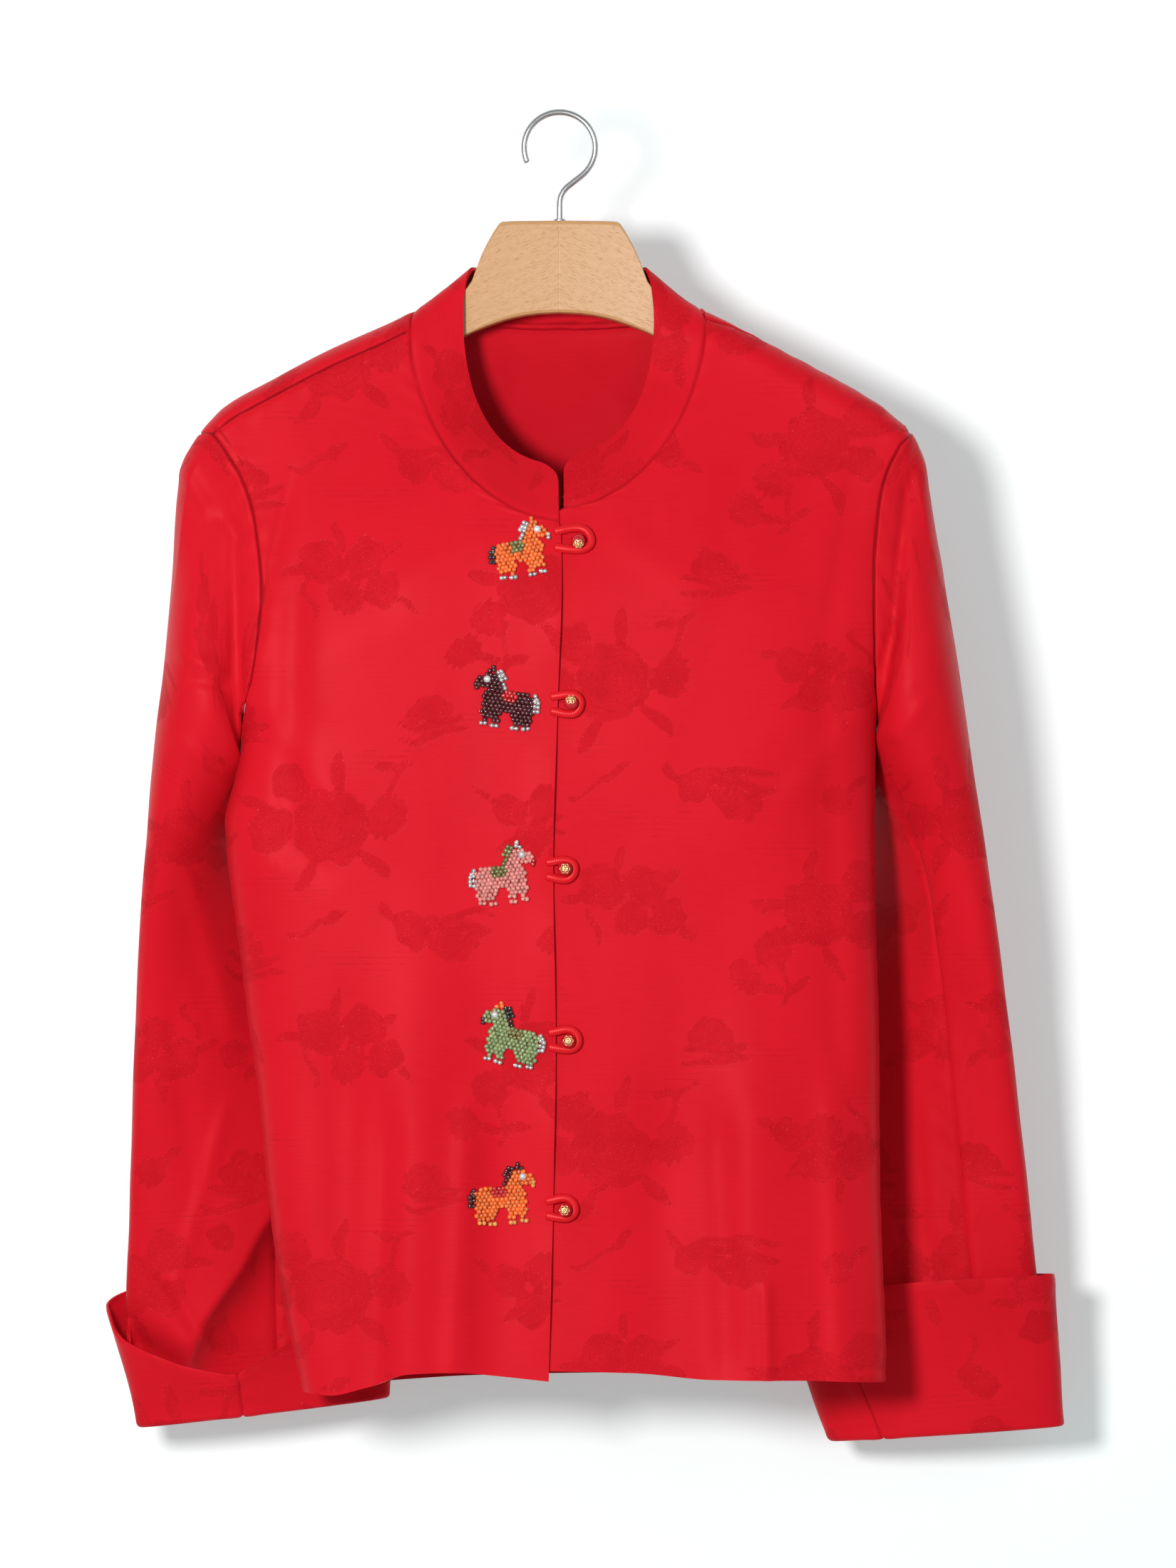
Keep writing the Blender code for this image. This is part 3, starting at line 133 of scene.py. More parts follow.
rightSide = {
    "sign": 1, "tuckIn": 0.0050, "shoulderPoint": {1: [(0.1975, 0.2)]},
    "ridge": (
        (0.0, -0.1035), (0.050, -0.1045), (0.070, -0.1070), (0.082, -0.1108), (0.0948, -0.1168),
        (0.1244, -0.1328), (0.1544, -0.1488), (0.1808, -0.1648), (0.2000, -0.1815),
    ),
    "width": (
        (-0.720, 0.1820), (-0.700, 0.1830), (-0.650, 0.1814), (-0.600, 0.1800), (-0.550, 0.1796),
        (-0.500, 0.1788), (-0.450, 0.1774), (-0.390, 0.1771), (-0.338, 0.1777), (-0.320, 0.1796),
        (-0.300, 0.1840), (-0.268, 0.1900), (-0.230, 0.1960), (-0.200, 0.2050), (-0.180, 0.2170),
        (-0.105, 0.2320),
    ),
    "frontHole": (
        (0.1906, -0.1880), (0.1840, -0.2012), (0.1804, -0.2134), (0.1784, -0.2276), (0.1764, -0.2556),
        (0.1764, -0.2832), (0.1768, -0.3140), (0.1777, -0.3380),
    ),
    "backHole": (
        (0.1900, -0.1920), (0.1830, -0.2120), (0.1775, -0.2450), (0.1755, -0.2850), (0.1762, -0.3150),
        (0.1777, -0.3380),
    ),
    "seam": ((0.082, 0.50), (0.121, 0.0), (0.1955, -0.35)),
    "rings": (
        (0.1935, -0.0080, -0.2715, 0.0360, 0.0145, 0, 0.0685, 0.0, 0.70),
        (0.1955, -0.0050, -0.2920, 0.0440, 0.0180, 0, 0.0540, 0.0, 0.35),
        (0.1972, 0.0000, -0.3195, 0.0490, 0.0229, 6, 0.0365, 0.0, 0.10),
        (0.1999, 0.0110, -0.3545, 0.0510, 0.0254, 16, 0.0195, 0.0, 0.0),
        (0.2036, 0.0250, -0.4000, 0.0520, 0.0221, 30, 0.0060, 0.0, 0.0),
        (0.2068, 0.0340, -0.4500, 0.0550, 0.0200, 38, 0.0, 0.0, 0.0),
        (0.2021, 0.0420, -0.5000, 0.0610, 0.0190, 52, 0.0, 0.0, 0.0),
        (0.1988, 0.0470, -0.5600, 0.0670, 0.0180, 64, 0.0, 0.0, 0.0),
        (0.1993, 0.0500, -0.6200, 0.0705, 0.0170, 72, 0.0, 0.0010, 0.0),
        (0.2025, 0.0520, -0.6700, 0.0715, 0.0170, 78, 0.0, 0.0030, 0.0),
        (0.2195, 0.0540, -0.7440, 0.0655, 0.0160, 82, 0.0, 0.0048, 0.0),
    ),
    "cuffTop": (
        (0, 0.086), (90, 0.0865), (150, 0.086), (194, 0.082), (212, 0.046), (230, 0.080), (270, 0.084),
        (360, 0.086),
    ),
}


# Curves, and the form of the hung cloth
def between(a, b, slopeA, slopeB, step, t):
    # from a to b, with these slopes at the two ends
    return (
        a * (1 + 2 * t) * (1 - t) ** 2 + b * t * t * (3 - 2 * t)
        + step * (slopeA * t * (1 - t) ** 2 - slopeB * t * t * (1 - t))
    )


def curveThrough(rows, column=1):
    # a curve through the rows' points that turns nowhere between them
    rows = sorted(rows)
    xs = np.array([row[0] for row in rows], float)
    ys = np.array([row[column] for row in rows], float)
    steps = np.diff(xs)
    slopes = np.diff(ys) / steps
    tangents = np.concatenate([slopes[:1], np.zeros(len(slopes) - 1), slopes[-1:]])
    for i in range(1, len(slopes)):
        if slopes[i - 1] * slopes[i] > 0:
            tangents[i] = 2 * slopes[i - 1] * slopes[i] / (slopes[i - 1] + slopes[i])

    def value(x):
        x = np.asarray(x, float)
        i = np.clip(np.searchsorted(xs, x, side="right") - 1, 0, len(steps) - 1)
        t = (x - xs[i]) / steps[i]
        inside = between(ys[i], ys[i + 1], tangents[i], tangents[i + 1], steps[i], t)
        low = ys[0] + tangents[0] * (x - xs[0])
        high = ys[-1] + tangents[-1] * (x - xs[-1])
        return np.where(x < xs[0], low, np.where(x > xs[-1], high, inside))

    return value


def smooth(t):
    t = np.clip(t, 0.0, 1.0)
    return t * t * (3 - 2 * t)


def reachOf(path):
    # how far along the path each of its points lies
    return np.concatenate([[0], np.cumsum(np.linalg.norm(np.diff(path, axis=0), axis=1))])


for side in (leftSide, rightSide):
    side["ridgeAt"] = curveThrough(side["ridge"])
    side["widthAt"] = curveThrough(side["width"])
    side["seamAt"] = curveThrough(side["seam"])
    side["cuffTopAt"] = curveThrough(side["cuffTop"])
    side["underarm"] = side["frontHole"][-1][1]
frontDepth = curveThrough(cut["depths"], 1)
backDepth = curveThrough(cut["depths"], 2)
placketX = curveThrough(cut["placket"])


def dropAt(p):
    p = np.abs(p)
    return cut["arch"] * np.where(p <= 1, 1 - np.cos(math.pi / 2 * np.minimum(p, 1)), 1 + (p - 1) * math.pi / 2)


def placeOf(x, z, face):
    ridge = np.where(np.asarray(x) < 0, leftSide["ridgeAt"](np.abs(x)), rightSide["ridgeAt"](np.abs(x)))
    drop = np.maximum(ridge - z, 0.0) / cut["arch"]
    near = np.arccos(np.clip(1 - drop, -1, 1)) * 2 / math.pi
    return face * np.where(drop < 1, near, 1 + (drop - 1) * 2 / math.pi)


def ridgeY(x):
    return -cut["shoulderForward"] * (x / cut["halfShoulder"]) ** 2


def foldAt(front, x, z):
    total = np.zeros_like(x)
    for where, topX, topZ, footX, footZ, halfWidth, height in cut["folds"]:
        t = (topZ - z) / (topZ - footZ)
        fade = smooth(3 * t) * smooth(4 * (1 - t) + 0.3) * ((t > 0) & (t < 1)) * (front == (where == "front"))
        total += height * fade * np.exp(-(((x - topX - (footX - topX) * t) / halfWidth) ** 2))
    return total


def bodyPoints(x, p, lift=0.0):
    x, p = np.broadcast_arrays(np.asarray(x, float), np.asarray(p, float))
    far, drop, isLeft, front = np.abs(x), dropAt(p), x < 0, p > 0
    z = np.where(isLeft, leftSide["ridgeAt"](far), rightSide["ridgeAt"](far)) - drop
    wide = np.where(isLeft, leftSide["widthAt"](z), rightSide["widthAt"](z))
    across = np.minimum(far / wide, 1.0)
    full = (1 - across ** cut["flatness"]) ** (1 / cut["flatness"])
    edge = (1 - across ** cut["edgeFlatness"]) ** (1 / cut["edgeFlatness"])
    arch = np.sin(math.pi / 2 * np.minimum(np.abs(p), 1))
    depth = np.where(front, frontDepth(z), backDepth(z))
    out = depth * (cut["archShare"] * arch * edge + (1 - cut["archShare"]) * smooth(drop / cut["settle"]) * full)
    out = out + foldAt(front, x, z) * full * arch + lift
    return np.stack([x, ridgeY(x) + np.where(front, -out, out), z], -1)


# Edges of the cut pieces, as x and the place round the ridge
def armholePath(side, face):
    key = "frontPath" if face > 0 else "backPath"
    if key in side:
        return side[key]
    sign, arch = side["sign"], cut["arch"]
    rows = side["frontHole"] if face > 0 else side["backHole"]
    pairs = [(sign * x, float(placeOf(sign * x, z, face))) for x, z in rows][::-1]
    pairs += side["shoulderPoint"].get(face, [])
    pairs.append((sign * side["seam"][-1][0], side["seam"][-1][1]))
    lengths = [0.0]
    for a, b in zip(pairs, pairs[1:]):
        lengths.append(lengths[-1] + math.hypot(b[0] - a[0], (b[1] - a[1]) * arch * math.pi / 2))
    xs = curveThrough([(l / lengths[-1], pair[0]) for l, pair in zip(lengths, pairs)])
    ps = curveThrough([(l / lengths[-1], pair[1]) for l, pair in zip(lengths, pairs)])

    def at(t):
        t = 1 - (1 - t) ** cut["spacing"]
        return float(xs(t)), float(ps(t))

    side[key] = at
    return at


def hemZ(side):
    hem, z = curveThrough(cut["backHem"]), -0.715
    for _ in range(3):
        z = float(hem(side["sign"] * side["widthAt"](z)))
    return z


def sideEdge(side, face, row, rows):
    low = cut["sideRows"]
    if row <= low:
        z = hemZ(side) + (side["underarm"] - hemZ(side)) * row / low
        x = float(side["sign"] * side["widthAt"](z))
        return x, float(placeOf(x, z, face))
    return armholePath(side, face)((row - low) / (rows - low))


# the neck line: its lowest point on each front, where the front edges end, and how square its curves are
neckLine = {
    "overLow": -0.2296, "underLow": -0.2222, "underEdgeLow": -0.2345, "overTop": -0.229, "underStart": 0.0026,
    "front": 1.081, "back": 0.77, "backDip": 0.90,
}


def neckFront(side, angle):
    isOver = side is leftSide
    start = float(placketX(neckLine["overTop"])) if isOver else neckLine["underStart"]
    wide = side["seam"][0][0]
    topX = side["sign"] * wide
    topZ = float(side["ridgeAt"](wide) - dropAt(side["seam"][0][1]))
    low = neckLine["overLow" if isOver else "underLow"]
    x = start + (topX - start) * math.sin(angle) ** neckLine["front"]
    z = topZ + (low - topZ) * abs(math.cos(angle)) ** neckLine["front"]
    return x, float(placeOf(x, z, 1))


def neckBack(side, angle):
    wide, start = side["seam"][0]
    x = side["sign"] * wide * max(math.sin(angle), 0.0) ** neckLine["back"]
    return x, start - (start + neckLine["backDip"]) * abs(math.cos(angle)) ** neckLine["back"]


def neckAngle(step):
    return math.pi / 2 * (step / cut["neckRows"]) ** cut["spacing"]


def shoulderPair(side, t):
    near, far = side["seam"][0][0], side["seam"][-1][0]
    x = near + (far - near) * t
    return side["sign"] * x, float(side["seamAt"](x))


def seamShare(t):
    return math.sin(math.pi / 2 * t) ** 0.9


def frontPlaces(side, fineRows, fineColumns):
    # rows from the hem up, columns from the front edge outward
    rows = cut["sideRows"] + cut["frontArmRows"]
    neckRow = rows - cut["neckRows"]
    isLeft = side is leftSide
    centreRows = neckRow if isLeft else neckRow - 1
    neckLow = neckLine["overLow" if isLeft else "underEdgeLow"]
    hem = curveThrough(cut["frontLeftHem"] if isLeft else cut["frontRightHem"])
    sideX = float(side["sign"] * side["widthAt"](hemZ(side)))
    startX = float(placketX(cut["frontLeftHem"][-1][1])) if isLeft else cut["underlapX"]

    def inner(row):
        if row >= neckRow:
            return neckFront(side, neckAngle(row - neckRow))
        share = min(row / centreRows, 1.0)
        z = float(hem(startX)) + (neckLow - float(hem(startX))) * share
        x = float(placketX(z)) if isLeft else cut["underlapX"]
        pair = np.array([x, float(placeOf(x, z, 1))])
        if row > centreRows:
            pair = pair + (np.array(neckFront(side, 0.0)) - pair) * (row - centreRows)
        return pair

    def foot(u):
        x = inner(0)[0] + (sideX - inner(0)[0]) * u
        gap = (hemZ(side) - float(hem(sideX))) * float(smooth(8 * u - 7))
        return x, float(placeOf(x, float(hem(x)) + gap, 1))

    steps = np.arange(rows * fineRows + 1) / fineRows
    columns = cut["frontColumns"] * fineColumns
    u = np.array([seamShare(k / columns) for k in range(columns + 1)])
    innerEdge = np.array([inner(row) for row in steps])
    outerEdge = np.array([sideEdge(side, 1, row, rows) for row in steps])
    footEdge = np.array([foot(s) for s in u])
    topEdge = np.array([shoulderPair(side, s) for s in u])
    return fillEdges(steps / rows, u, footEdge, topEdge, innerEdge, outerEdge)


def fillEdges(v, u, foot, top, inner, outer):
    v, u = v[:, None, None], (u[None, :, None] if u.ndim == 1 else u[..., None])
    a, b, c, d = inner[0], outer[0], inner[-1], outer[-1]
    flat = (1 - u) * (1 - v) * a + u * (1 - v) * b + (1 - u) * v * c + u * v * d
    foot = foot if foot.ndim == 3 else foot[None]
    grid = (1 - v) * foot + v * top[None] + (1 - u) * inner[:, None] + u * outer[:, None] - flat
    grid[:, 0], grid[:, -1], grid[-1] = inner, outer, top
    return grid


def backPlaces(fineRows, fineColumns):
    rows = cut["sideRows"] + cut["backArmRows"]
    wide, half = cut["frontColumns"], cut["neckColumns"] / 2
    columns = 2 * wide + cut["neckColumns"]
    hem = curveThrough(cut["backHem"])

    def topAt(column):
        if column <= wide:
            return shoulderPair(leftSide, seamShare((wide - column) / wide))
        if column >= columns - wide:
            return shoulderPair(rightSide, seamShare((column - columns + wide) / wide))
        step = column - wide
        side = leftSide if step <= half else rightSide
        return neckBack(side, math.pi / 2 * (1 + (step / half if step <= half else 2 - step / half)))

    steps = np.arange(rows * fineRows + 1) / fineRows
    places = np.arange(columns * fineColumns + 1) / fineColumns
    top = np.array([topAt(column) for column in places])
    left = np.array([sideEdge(leftSide, -1, row, rows) for row in steps])
    right = np.array([sideEdge(rightSide, -1, row, rows) for row in steps])
    share = (top[:, 0] - top[0, 0]) / (top[-1, 0] - top[0, 0])
    swing = np.cos(math.pi * places / columns)
    even = 0.5 - 0.5 * swing * (0.9 + 0.1 * np.abs(swing))
    v = steps / rows
    mixed = even[None] + (share - even)[None] * smooth(1.6 * v - 0.5)[:, None]
    footX = left[0, 0] + (right[0, 0] - left[0, 0]) * mixed
    foot = np.stack([footX, placeOf(footX, hem(footX), -1)], -1)
    return fillEdges(v, mixed, foot, top, left, right)


def collarPoints(frontLeft, back, frontRight, fine):
    # from the neck seam up to the free edge, round the neck from left to right
    count, wide, neck = cut["neckRows"] * fine, cut["frontColumns"] * fine, cut["neckColumns"] * fine
    low = [*frontLeft[-1 - count:, 0], *back[-1, wide + 1:wide + neck], *frontRight[-1 - count:, 0][::-1]]
    angles = [(leftSide, neckAngle(k / fine)) for k in range(count + 1)]
    for step in range(1, neck):
        share = 2 * step / neck
        side = leftSide if share <= 1 else rightSide
        angles.append((side, math.pi / 2 * (1 + (share if share <= 1 else 2 - share))))
    angles += [(rightSide, neckAngle((count - k) / fine)) for k in range(count + 1)]
    low = np.array(low)
    freeEdge = np.array([collarTop(side, angle) for side, angle in angles])
    along = reachOf(freeEdge)
    end = np.minimum(along, along[-1] - along)
    tall = np.linalg.norm(freeEdge - low, axis=1)
    corner = collar["corner"]
    bite = corner - np.sqrt(np.maximum(corner ** 2 - np.maximum(corner - end, 0) ** 2, 0))
    share = 1 - bite / tall
    out = np.array([[0.0, -1.0 if angle < 2 else 1.0, 0.35] for _, angle in angles])
    rows = []
    for k in range(collar["rows"] + 1):
        t = k / collar["rows"]
        swell = collar["swell"] * math.sin(math.pi * t)
        rows.append(low + (freeEdge - low) * (t * share)[:, None] + out * swell)
    up = (freeEdge - low) / tall[:, None]
    inward = -out * [1.0, 1.0, 0.0] + [0.0, 0.0, -0.3]
    rows.insert(0, low - up * collar["allowance"] + inward * collar["tuck"])
    return np.array(rows)


def collarTop(side, angle):
    degrees = math.degrees(angle)
    wide, drop, start = collar["over" if side is leftSide else "under"]
    y = float(collarY(degrees))
    if angle <= math.pi / 2:
        x = start + (side["sign"] * wide - start) * math.sin(angle) ** collar["front"]
        z = collar["sideTop"] - drop * abs(math.cos(angle)) ** collar["front"]
    else:
        x = side["sign"] * wide * max(math.sin(angle), 0.0) ** neckLine["back"]
        risen = min((degrees - 90) / collar["riseTurn"], 1.0)
        z = collar["sideTop"] + collar["backRise"] * math.sin(math.pi / 2 * risen)
    return x, y, z


collar = {
    "rows": 16, "fine": 6, "swell": 0.0005, "corner": 0.013, "allowance": 0.0024, "tuck": 0.0016,
    # half width of the free edge, its drop to the centre front and where it ends there, on each front
    "over": (0.054, 0.0820, -0.0006), "under": (0.053, 0.0765, 0.0022), "front": 0.909,
    "sideTop": -0.115, "backRise": 0.0295, "riseTurn": 28,
    "flat": (0.470, 0.049), "area": 0.0176, "shift": (150, 158),
}
# degrees round the neck from the centre front, and y
collarY = curveThrough(
    ((0, -0.029), (30, -0.0215), (50, -0.0170), (70, -0.0152), (90, -0.0150), (105, -0.0095),
     (120, 0.003), (140, 0.0165), (180, 0.0275))
)


# Sleeves
def ringRow(side, at):
    names = ("out", "y", "z", "long", "thick", "turn", "rise", "lean", "keep")
    rings = side["rings"]
    return {name: curveThrough([(i, ring[k]) for i, ring in enumerate(rings)])(at) for k, name in enumerate(names)}


def ringPoints(side, row, turn, grow=0.0):
    swing, sign = np.radians(row["turn"]), side["sign"]
    s, c = np.sin(turn), np.cos(turn)
    long, thick = (row["long"] + grow) * s, (row["thick"] + grow) * np.copysign(np.abs(c) ** 0.8, c)
    x = sign * row["out"] + sign * np.sin(swing) * long + sign * np.cos(swing) * thick
    y = row["y"] - np.cos(swing) * long + np.sin(swing) * thick
    z = row["z"] + row["rise"] * c + row["lean"] * s
    return np.stack(np.broadcast_arrays(x, y, z), -1)


def loopTurns(loop):
    middle = (loop.min(0) + loop.max(0)) / 2
    half = np.ptp(loop, axis=0) / 2
    turns = np.arctan2(-(loop[:, 1] - middle[1]) / half[1], (loop[:, 2] - middle[2]) / half[2])
    return np.unwrap(turns)


def sleeveLoop(side, fine):
    # the armhole from the shoulder seam down the front, round the underarm and up the back
    low = cut["sideRows"]
    frontRows, backRows = low + cut["frontArmRows"], low + cut["backArmRows"]
    down = [sideEdge(side, 1, frontRows - k / fine, frontRows) for k in range(cut["frontArmRows"] * fine + 1)]
    up = [sideEdge(side, -1, low + k / fine, backRows) for k in range(1, cut["backArmRows"] * fine)]
    pairs = np.array(down + up)
    points = bodyPoints(pairs[:, 0], pairs[:, 1])
    return points, len(down) - 1


def sleevePoints(side, loop):
    turns = loopTurns(loop)
    middle = (loop.max(0) + loop.min(0)) / 2
    even = turns[0] + np.arange(len(loop)) * 2 * math.pi / len(loop)
    last = len(side["rings"]) - 1
    rows = [loop]
    for at in np.arange(last * 2 + 1) / 2:
        row = ringRow(side, at)
        turn = turns + (even - turns) * float(smooth(at / last * 2.0))
        new = ringPoints(side, row, turn)
        centre = np.array([side["sign"] * row["out"], row["y"], row["z"]])
        new = new + (loop - middle + centre - new) * max(float(row["keep"]), 0.0)
        under = smooth((-np.cos(turn) - 0.35) / 0.65) * float(smooth(1.6 - at / 1.6))
        new[:, 0] -= side["sign"] * side["tuckIn"] * under
        rows.append(new)
    return np.array(rows), even


# a fold across the left sleeve above its cuff, and the hollow behind the cuff's edge
cuffFoldForm = {
    "top": (-0.160, -0.618), "foot": (-0.204, -0.688), "ease": 0.0100, "depth": 0.0230, "wave": 0.0012,
    "hollow": ((-0.262, -0.688), (-0.190, -0.730)), "hollowWidth": 0.0135, "hollowDepth": 0.0160,
}


def cuffFold(points, turn):
    # a diagonal fold: the cloth on its body side lies deeper
    form = cuffFoldForm
    t = (form["top"][1] - points[..., 2]) / (form["top"][1] - form["foot"][1])
    across = points[..., 0] - form["top"][0] - (form["foot"][0] - form["top"][0]) * t + form["wave"] * np.sin(9 * t)
    front = smooth(-np.cos(turn) / 0.4)
    step = form["depth"] * (1 - np.exp(-np.maximum(across, 0.0) / form["ease"])) * smooth(2.2 * t + 0.7)
    (x0, z0), (x1, z1) = form["hollow"]
    reach = math.hypot(x1 - x0, z1 - z0)
    off = ((points[..., 0] - x0) * (z1 - z0) - (points[..., 2] - z0) * (x1 - x0)) / reach / form["hollowWidth"]
    return front * np.maximum(step, form["hollowDepth"] * np.exp(-off * off))


def spread(rows, at, fine):
    # rows at the fine places, on a smooth curve through the given rows at theirs
    tangents = np.gradient(rows, at, axis=0)
    i = np.clip(np.searchsorted(at, fine, side="right") - 1, 0, len(at) - 2)
    step, t = at[i + 1] - at[i], (fine - at[i]) / (at[i + 1] - at[i])
    for _ in rows.shape[1:]:
        step, t = step[..., None], t[..., None]
    return between(rows[i], rows[i + 1], tangents[i], tangents[i + 1], step, t)


def moreRows(grid, spacing):
    # a smooth curve down every column, with rows the same distance apart
    at = np.concatenate([[0], np.cumsum(np.linalg.norm(np.diff(grid, axis=0), axis=2).mean(1))])
    return spread(grid, at, np.linspace(0, at[-1], int(at[-1] / spacing) + 1))


# The woven figures, charted in millimetres on the flat cloth: each gives the distance to its outline,
# under 0 inside, and a height whose whole numbers are its inner lines
def blossom(a, b, size):
    far, round_ = np.hypot(a, b), np.arctan2(b, a)
    lobes = 0.80 + 0.20 * np.abs(np.cos(2.5 * round_)) ** 0.55
    rings = 0.86 + 0.14 * np.abs(np.cos(2.5 * round_ + 0.5 * math.pi)) ** 0.55
    near = far / size
    return far - size * lobes, np.where(near < 0.26, near / 0.13, 2.0 + (near / rings - 0.26) / 0.27)


def peony(a, b, size):
    far, round_ = np.hypot(a, b), np.arctan2(b, a)
    near = far / size
    swirl = round_ + 0.9 * near
    lobes = 0.86 + 0.14 * np.abs(np.cos(4 * round_)) ** 0.6
    petals = 0.82 + 0.18 * np.abs(np.cos(3.5 * swirl)) ** 0.7
    return far - size * lobes, 0.5 + 5.0 * near / petals


def aster(a, b, size):
    far, round_ = np.hypot(a, b), np.arctan2(b, a)
    swing = np.cos(6.5 * round_)
    reach = 0.66 + 0.34 * np.abs(swing) ** 0.8
    near = far / size
    return far - size * reach, np.where(near < 0.28, near / 0.14, 0.5 + 0.5 * np.cos(13 * round_))


def leaf(a, b, size):
    wide = 0.30 * size * np.sin(math.pi * np.clip(0.5 + 0.5 * a / size, 0, 1)) ** 0.8
    bend = b - 0.10 * size * np.cos(a / size * 1.6)
    return np.maximum(np.abs(bend) - wide, np.abs(a) - size), (a + 1.1 * np.abs(bend)) / 3.4


def stem(a, b, size):
    bend = 0.22 * size * np.sin(a / size * 2.6)
    return np.maximum(np.abs(b - bend) - 1.2, np.abs(a) - size), np.full_like(a, 0.5)


def cloud(a, b, size):
    # ringed lobes over a band that swings back under itself
    field, lines = np.full_like(a, 99.0), np.zeros_like(a)
    lobes = ((-0.62, 0.05, 0.30), (-0.22, 0.34, 0.36), (0.26, 0.28, 0.34), (0.62, 0.02, 0.26), (0.0, -0.02, 0.34))
    for x, y, r in lobes:
        far = np.hypot(a - x * size, b - y * size)
        own = far - r * size
        lines = np.where(own < field, 0.5 + far / (0.17 * size), lines)
        field = np.minimum(field, own)
    along = np.clip(a / size, -1.5, 1.5)
    for level, half, lean in ((-0.42, 0.15, 0.10), (-0.86, 0.11, -0.12)):
        off = b - size * (level + lean * np.sin(2.2 * along + level * 4))
        width = half * size * np.sqrt(np.clip(1 - (along / 1.35) ** 2, 0, 1))
        own = np.maximum(np.abs(off) - width, np.abs(a) - 1.3 * size)
        lines = np.where(own < field, off / 3.2, lines)
        field = np.minimum(field, own)
    return field, lines


def sprig(x, y, size, turn, parts):
    # a group of figures round one place, turned together
    c, s = math.cos(math.radians(turn)), math.sin(math.radians(turn))
    return [(kind, x + size * (a * c - b * s), y + size * (a * s + b * c), size * r, turn + t)
            for kind, a, b, r, t in parts]


blooms = (
    ("peony", 0.0, 0.0, 1.00, 0), ("blossom", 1.42, 0.62, 0.58, 20), ("blossom", 1.30, -0.62, 0.50, 50),
    ("aster", -1.30, -0.75, 0.55, 0), ("leaf", -1.35, 0.45, 0.56, 160), ("leaf", 0.10, 1.42, 0.52, 75),
    ("leaf", 0.25, -1.45, 0.55, -70), ("leaf", 2.15, 0.10, 0.45, 5), ("stem", -1.10, -1.70, 0.75, 62),
    ("leaf", -0.75, -1.95, 0.36, 20),
)
garland = (
    ("blossom", -0.9, 0.1, 0.72, 10), ("blossom", 0.35, 0.55, 0.64, 40), ("blossom", 1.25, -0.25, 0.56, 75),
    ("aster", 0.15, -0.65, 0.60, 0), ("leaf", -1.75, -0.35, 0.46, 200), ("leaf", 1.05, 0.85, 0.42, 50),
    ("leaf", -0.55, 1.15, 0.46, 110), ("stem", -0.9, -1.15, 0.62, 120), ("leaf", 2.05, -0.6, 0.40, -20),
)
# the woven repeat in millimetres, and its figures: kind, middle, size and turn
silkCut = {
    "repeat": (236.0, 262.0),
    "figures": (
        *sprig(54, 58, 20, 8, blooms), *sprig(176, 186, 22, 158, blooms), *sprig(186, 66, 18, -14, garland),
        *sprig(60, 188, 17, 172, garland), ("cloud", 122, 118, 20, 3), ("cloud", 10, 122, 17, 176),
        ("cloud", 118, 250, 18, -5), ("cloud", 232, 250, 15, 4), ("aster", 118, 22, 11, 0),
        ("blossom", 108, 186, 9, 30), ("leaf", 120, 176, 8, 60), ("blossom", 222, 128, 10, 0),
        ("leaf", 210, 138, 8, 130), ("leaf", 134, 64, 9, 100),
        ("aster", 14, 22, 10, 20), ("leaf", 28, 16, 8, -20), ("stem", 118, 40, 12, 84), ("blossom", 112, 82, 8, 0),
        ("aster", 66, 122, 9, 0), ("leaf", 78, 130, 8, 40), ("stem", 166, 128, 14, 12), ("leaf", 180, 136, 8, 40),
    ),
    # patches of fine shuttle lines: middle, half width, half height
    "ripples": ((96, 96, 40, 9), (196, 112, 40, 8), (40, 96, 34, 7), (130, 8, 44, 8), (24, 240, 34, 8),
                (96, 218, 38, 9), (210, 226, 36, 7), (150, 152, 34, 7)),
    "sway": 1.5,
}
figureKinds = {"blossom": blossom, "peony": peony, "aster": aster, "leaf": leaf, "stem": stem, "cloud": cloud}


def figureFields(u, v, shift):
    # distance to the nearest figure, its inner lines, and the shuttle lines of the ground
    wide, tall = silkCut["repeat"]
    across, up = u * 1000 + shift[0], v * 1000 + shift[1]
    sway = silkCut["sway"]
    across, up = (across + sway * np.sin(up / 7.3 + np.sin(across / 19)) + 0.4 * sway * np.sin(up / 2.9),
                  up + sway * np.sin(across / 8.1 + 1.3 * np.sin(up / 23)) + 0.4 * sway * np.sin(across / 3.3))
    fill, lines, shuttle = np.full(across.shape, 9.0), np.full(across.shape, 0.5), np.zeros(across.shape)
    for kind, x, y, size, turn in silkCut["figures"]:
        du = (across - x + wide / 2) % wide - wide / 2
        dv = (up - y + tall / 2) % tall - tall / 2
        c, s = math.cos(math.radians(turn)), math.sin(math.radians(turn))
        field, own = figureKinds[kind](du * c + dv * s, dv * c - du * s, size)
        lines = np.where(field < fill, own, lines)
        fill = np.minimum(fill, field)
    for x, y, halfWide, halfTall in silkCut["ripples"]:
        du = (across - x + wide / 2) % wide - wide / 2
        dv = (up - y + tall / 2) % tall - tall / 2 + 4.5 * np.sin(du / 11 + x) + 2.0 * np.sin(du / 4.1)
        shuttle = np.maximum(shuttle, np.clip(1.6 - 1.6 * np.hypot(du / halfWide, dv / halfTall), 0, 1))
    return fill, lines, shuttle


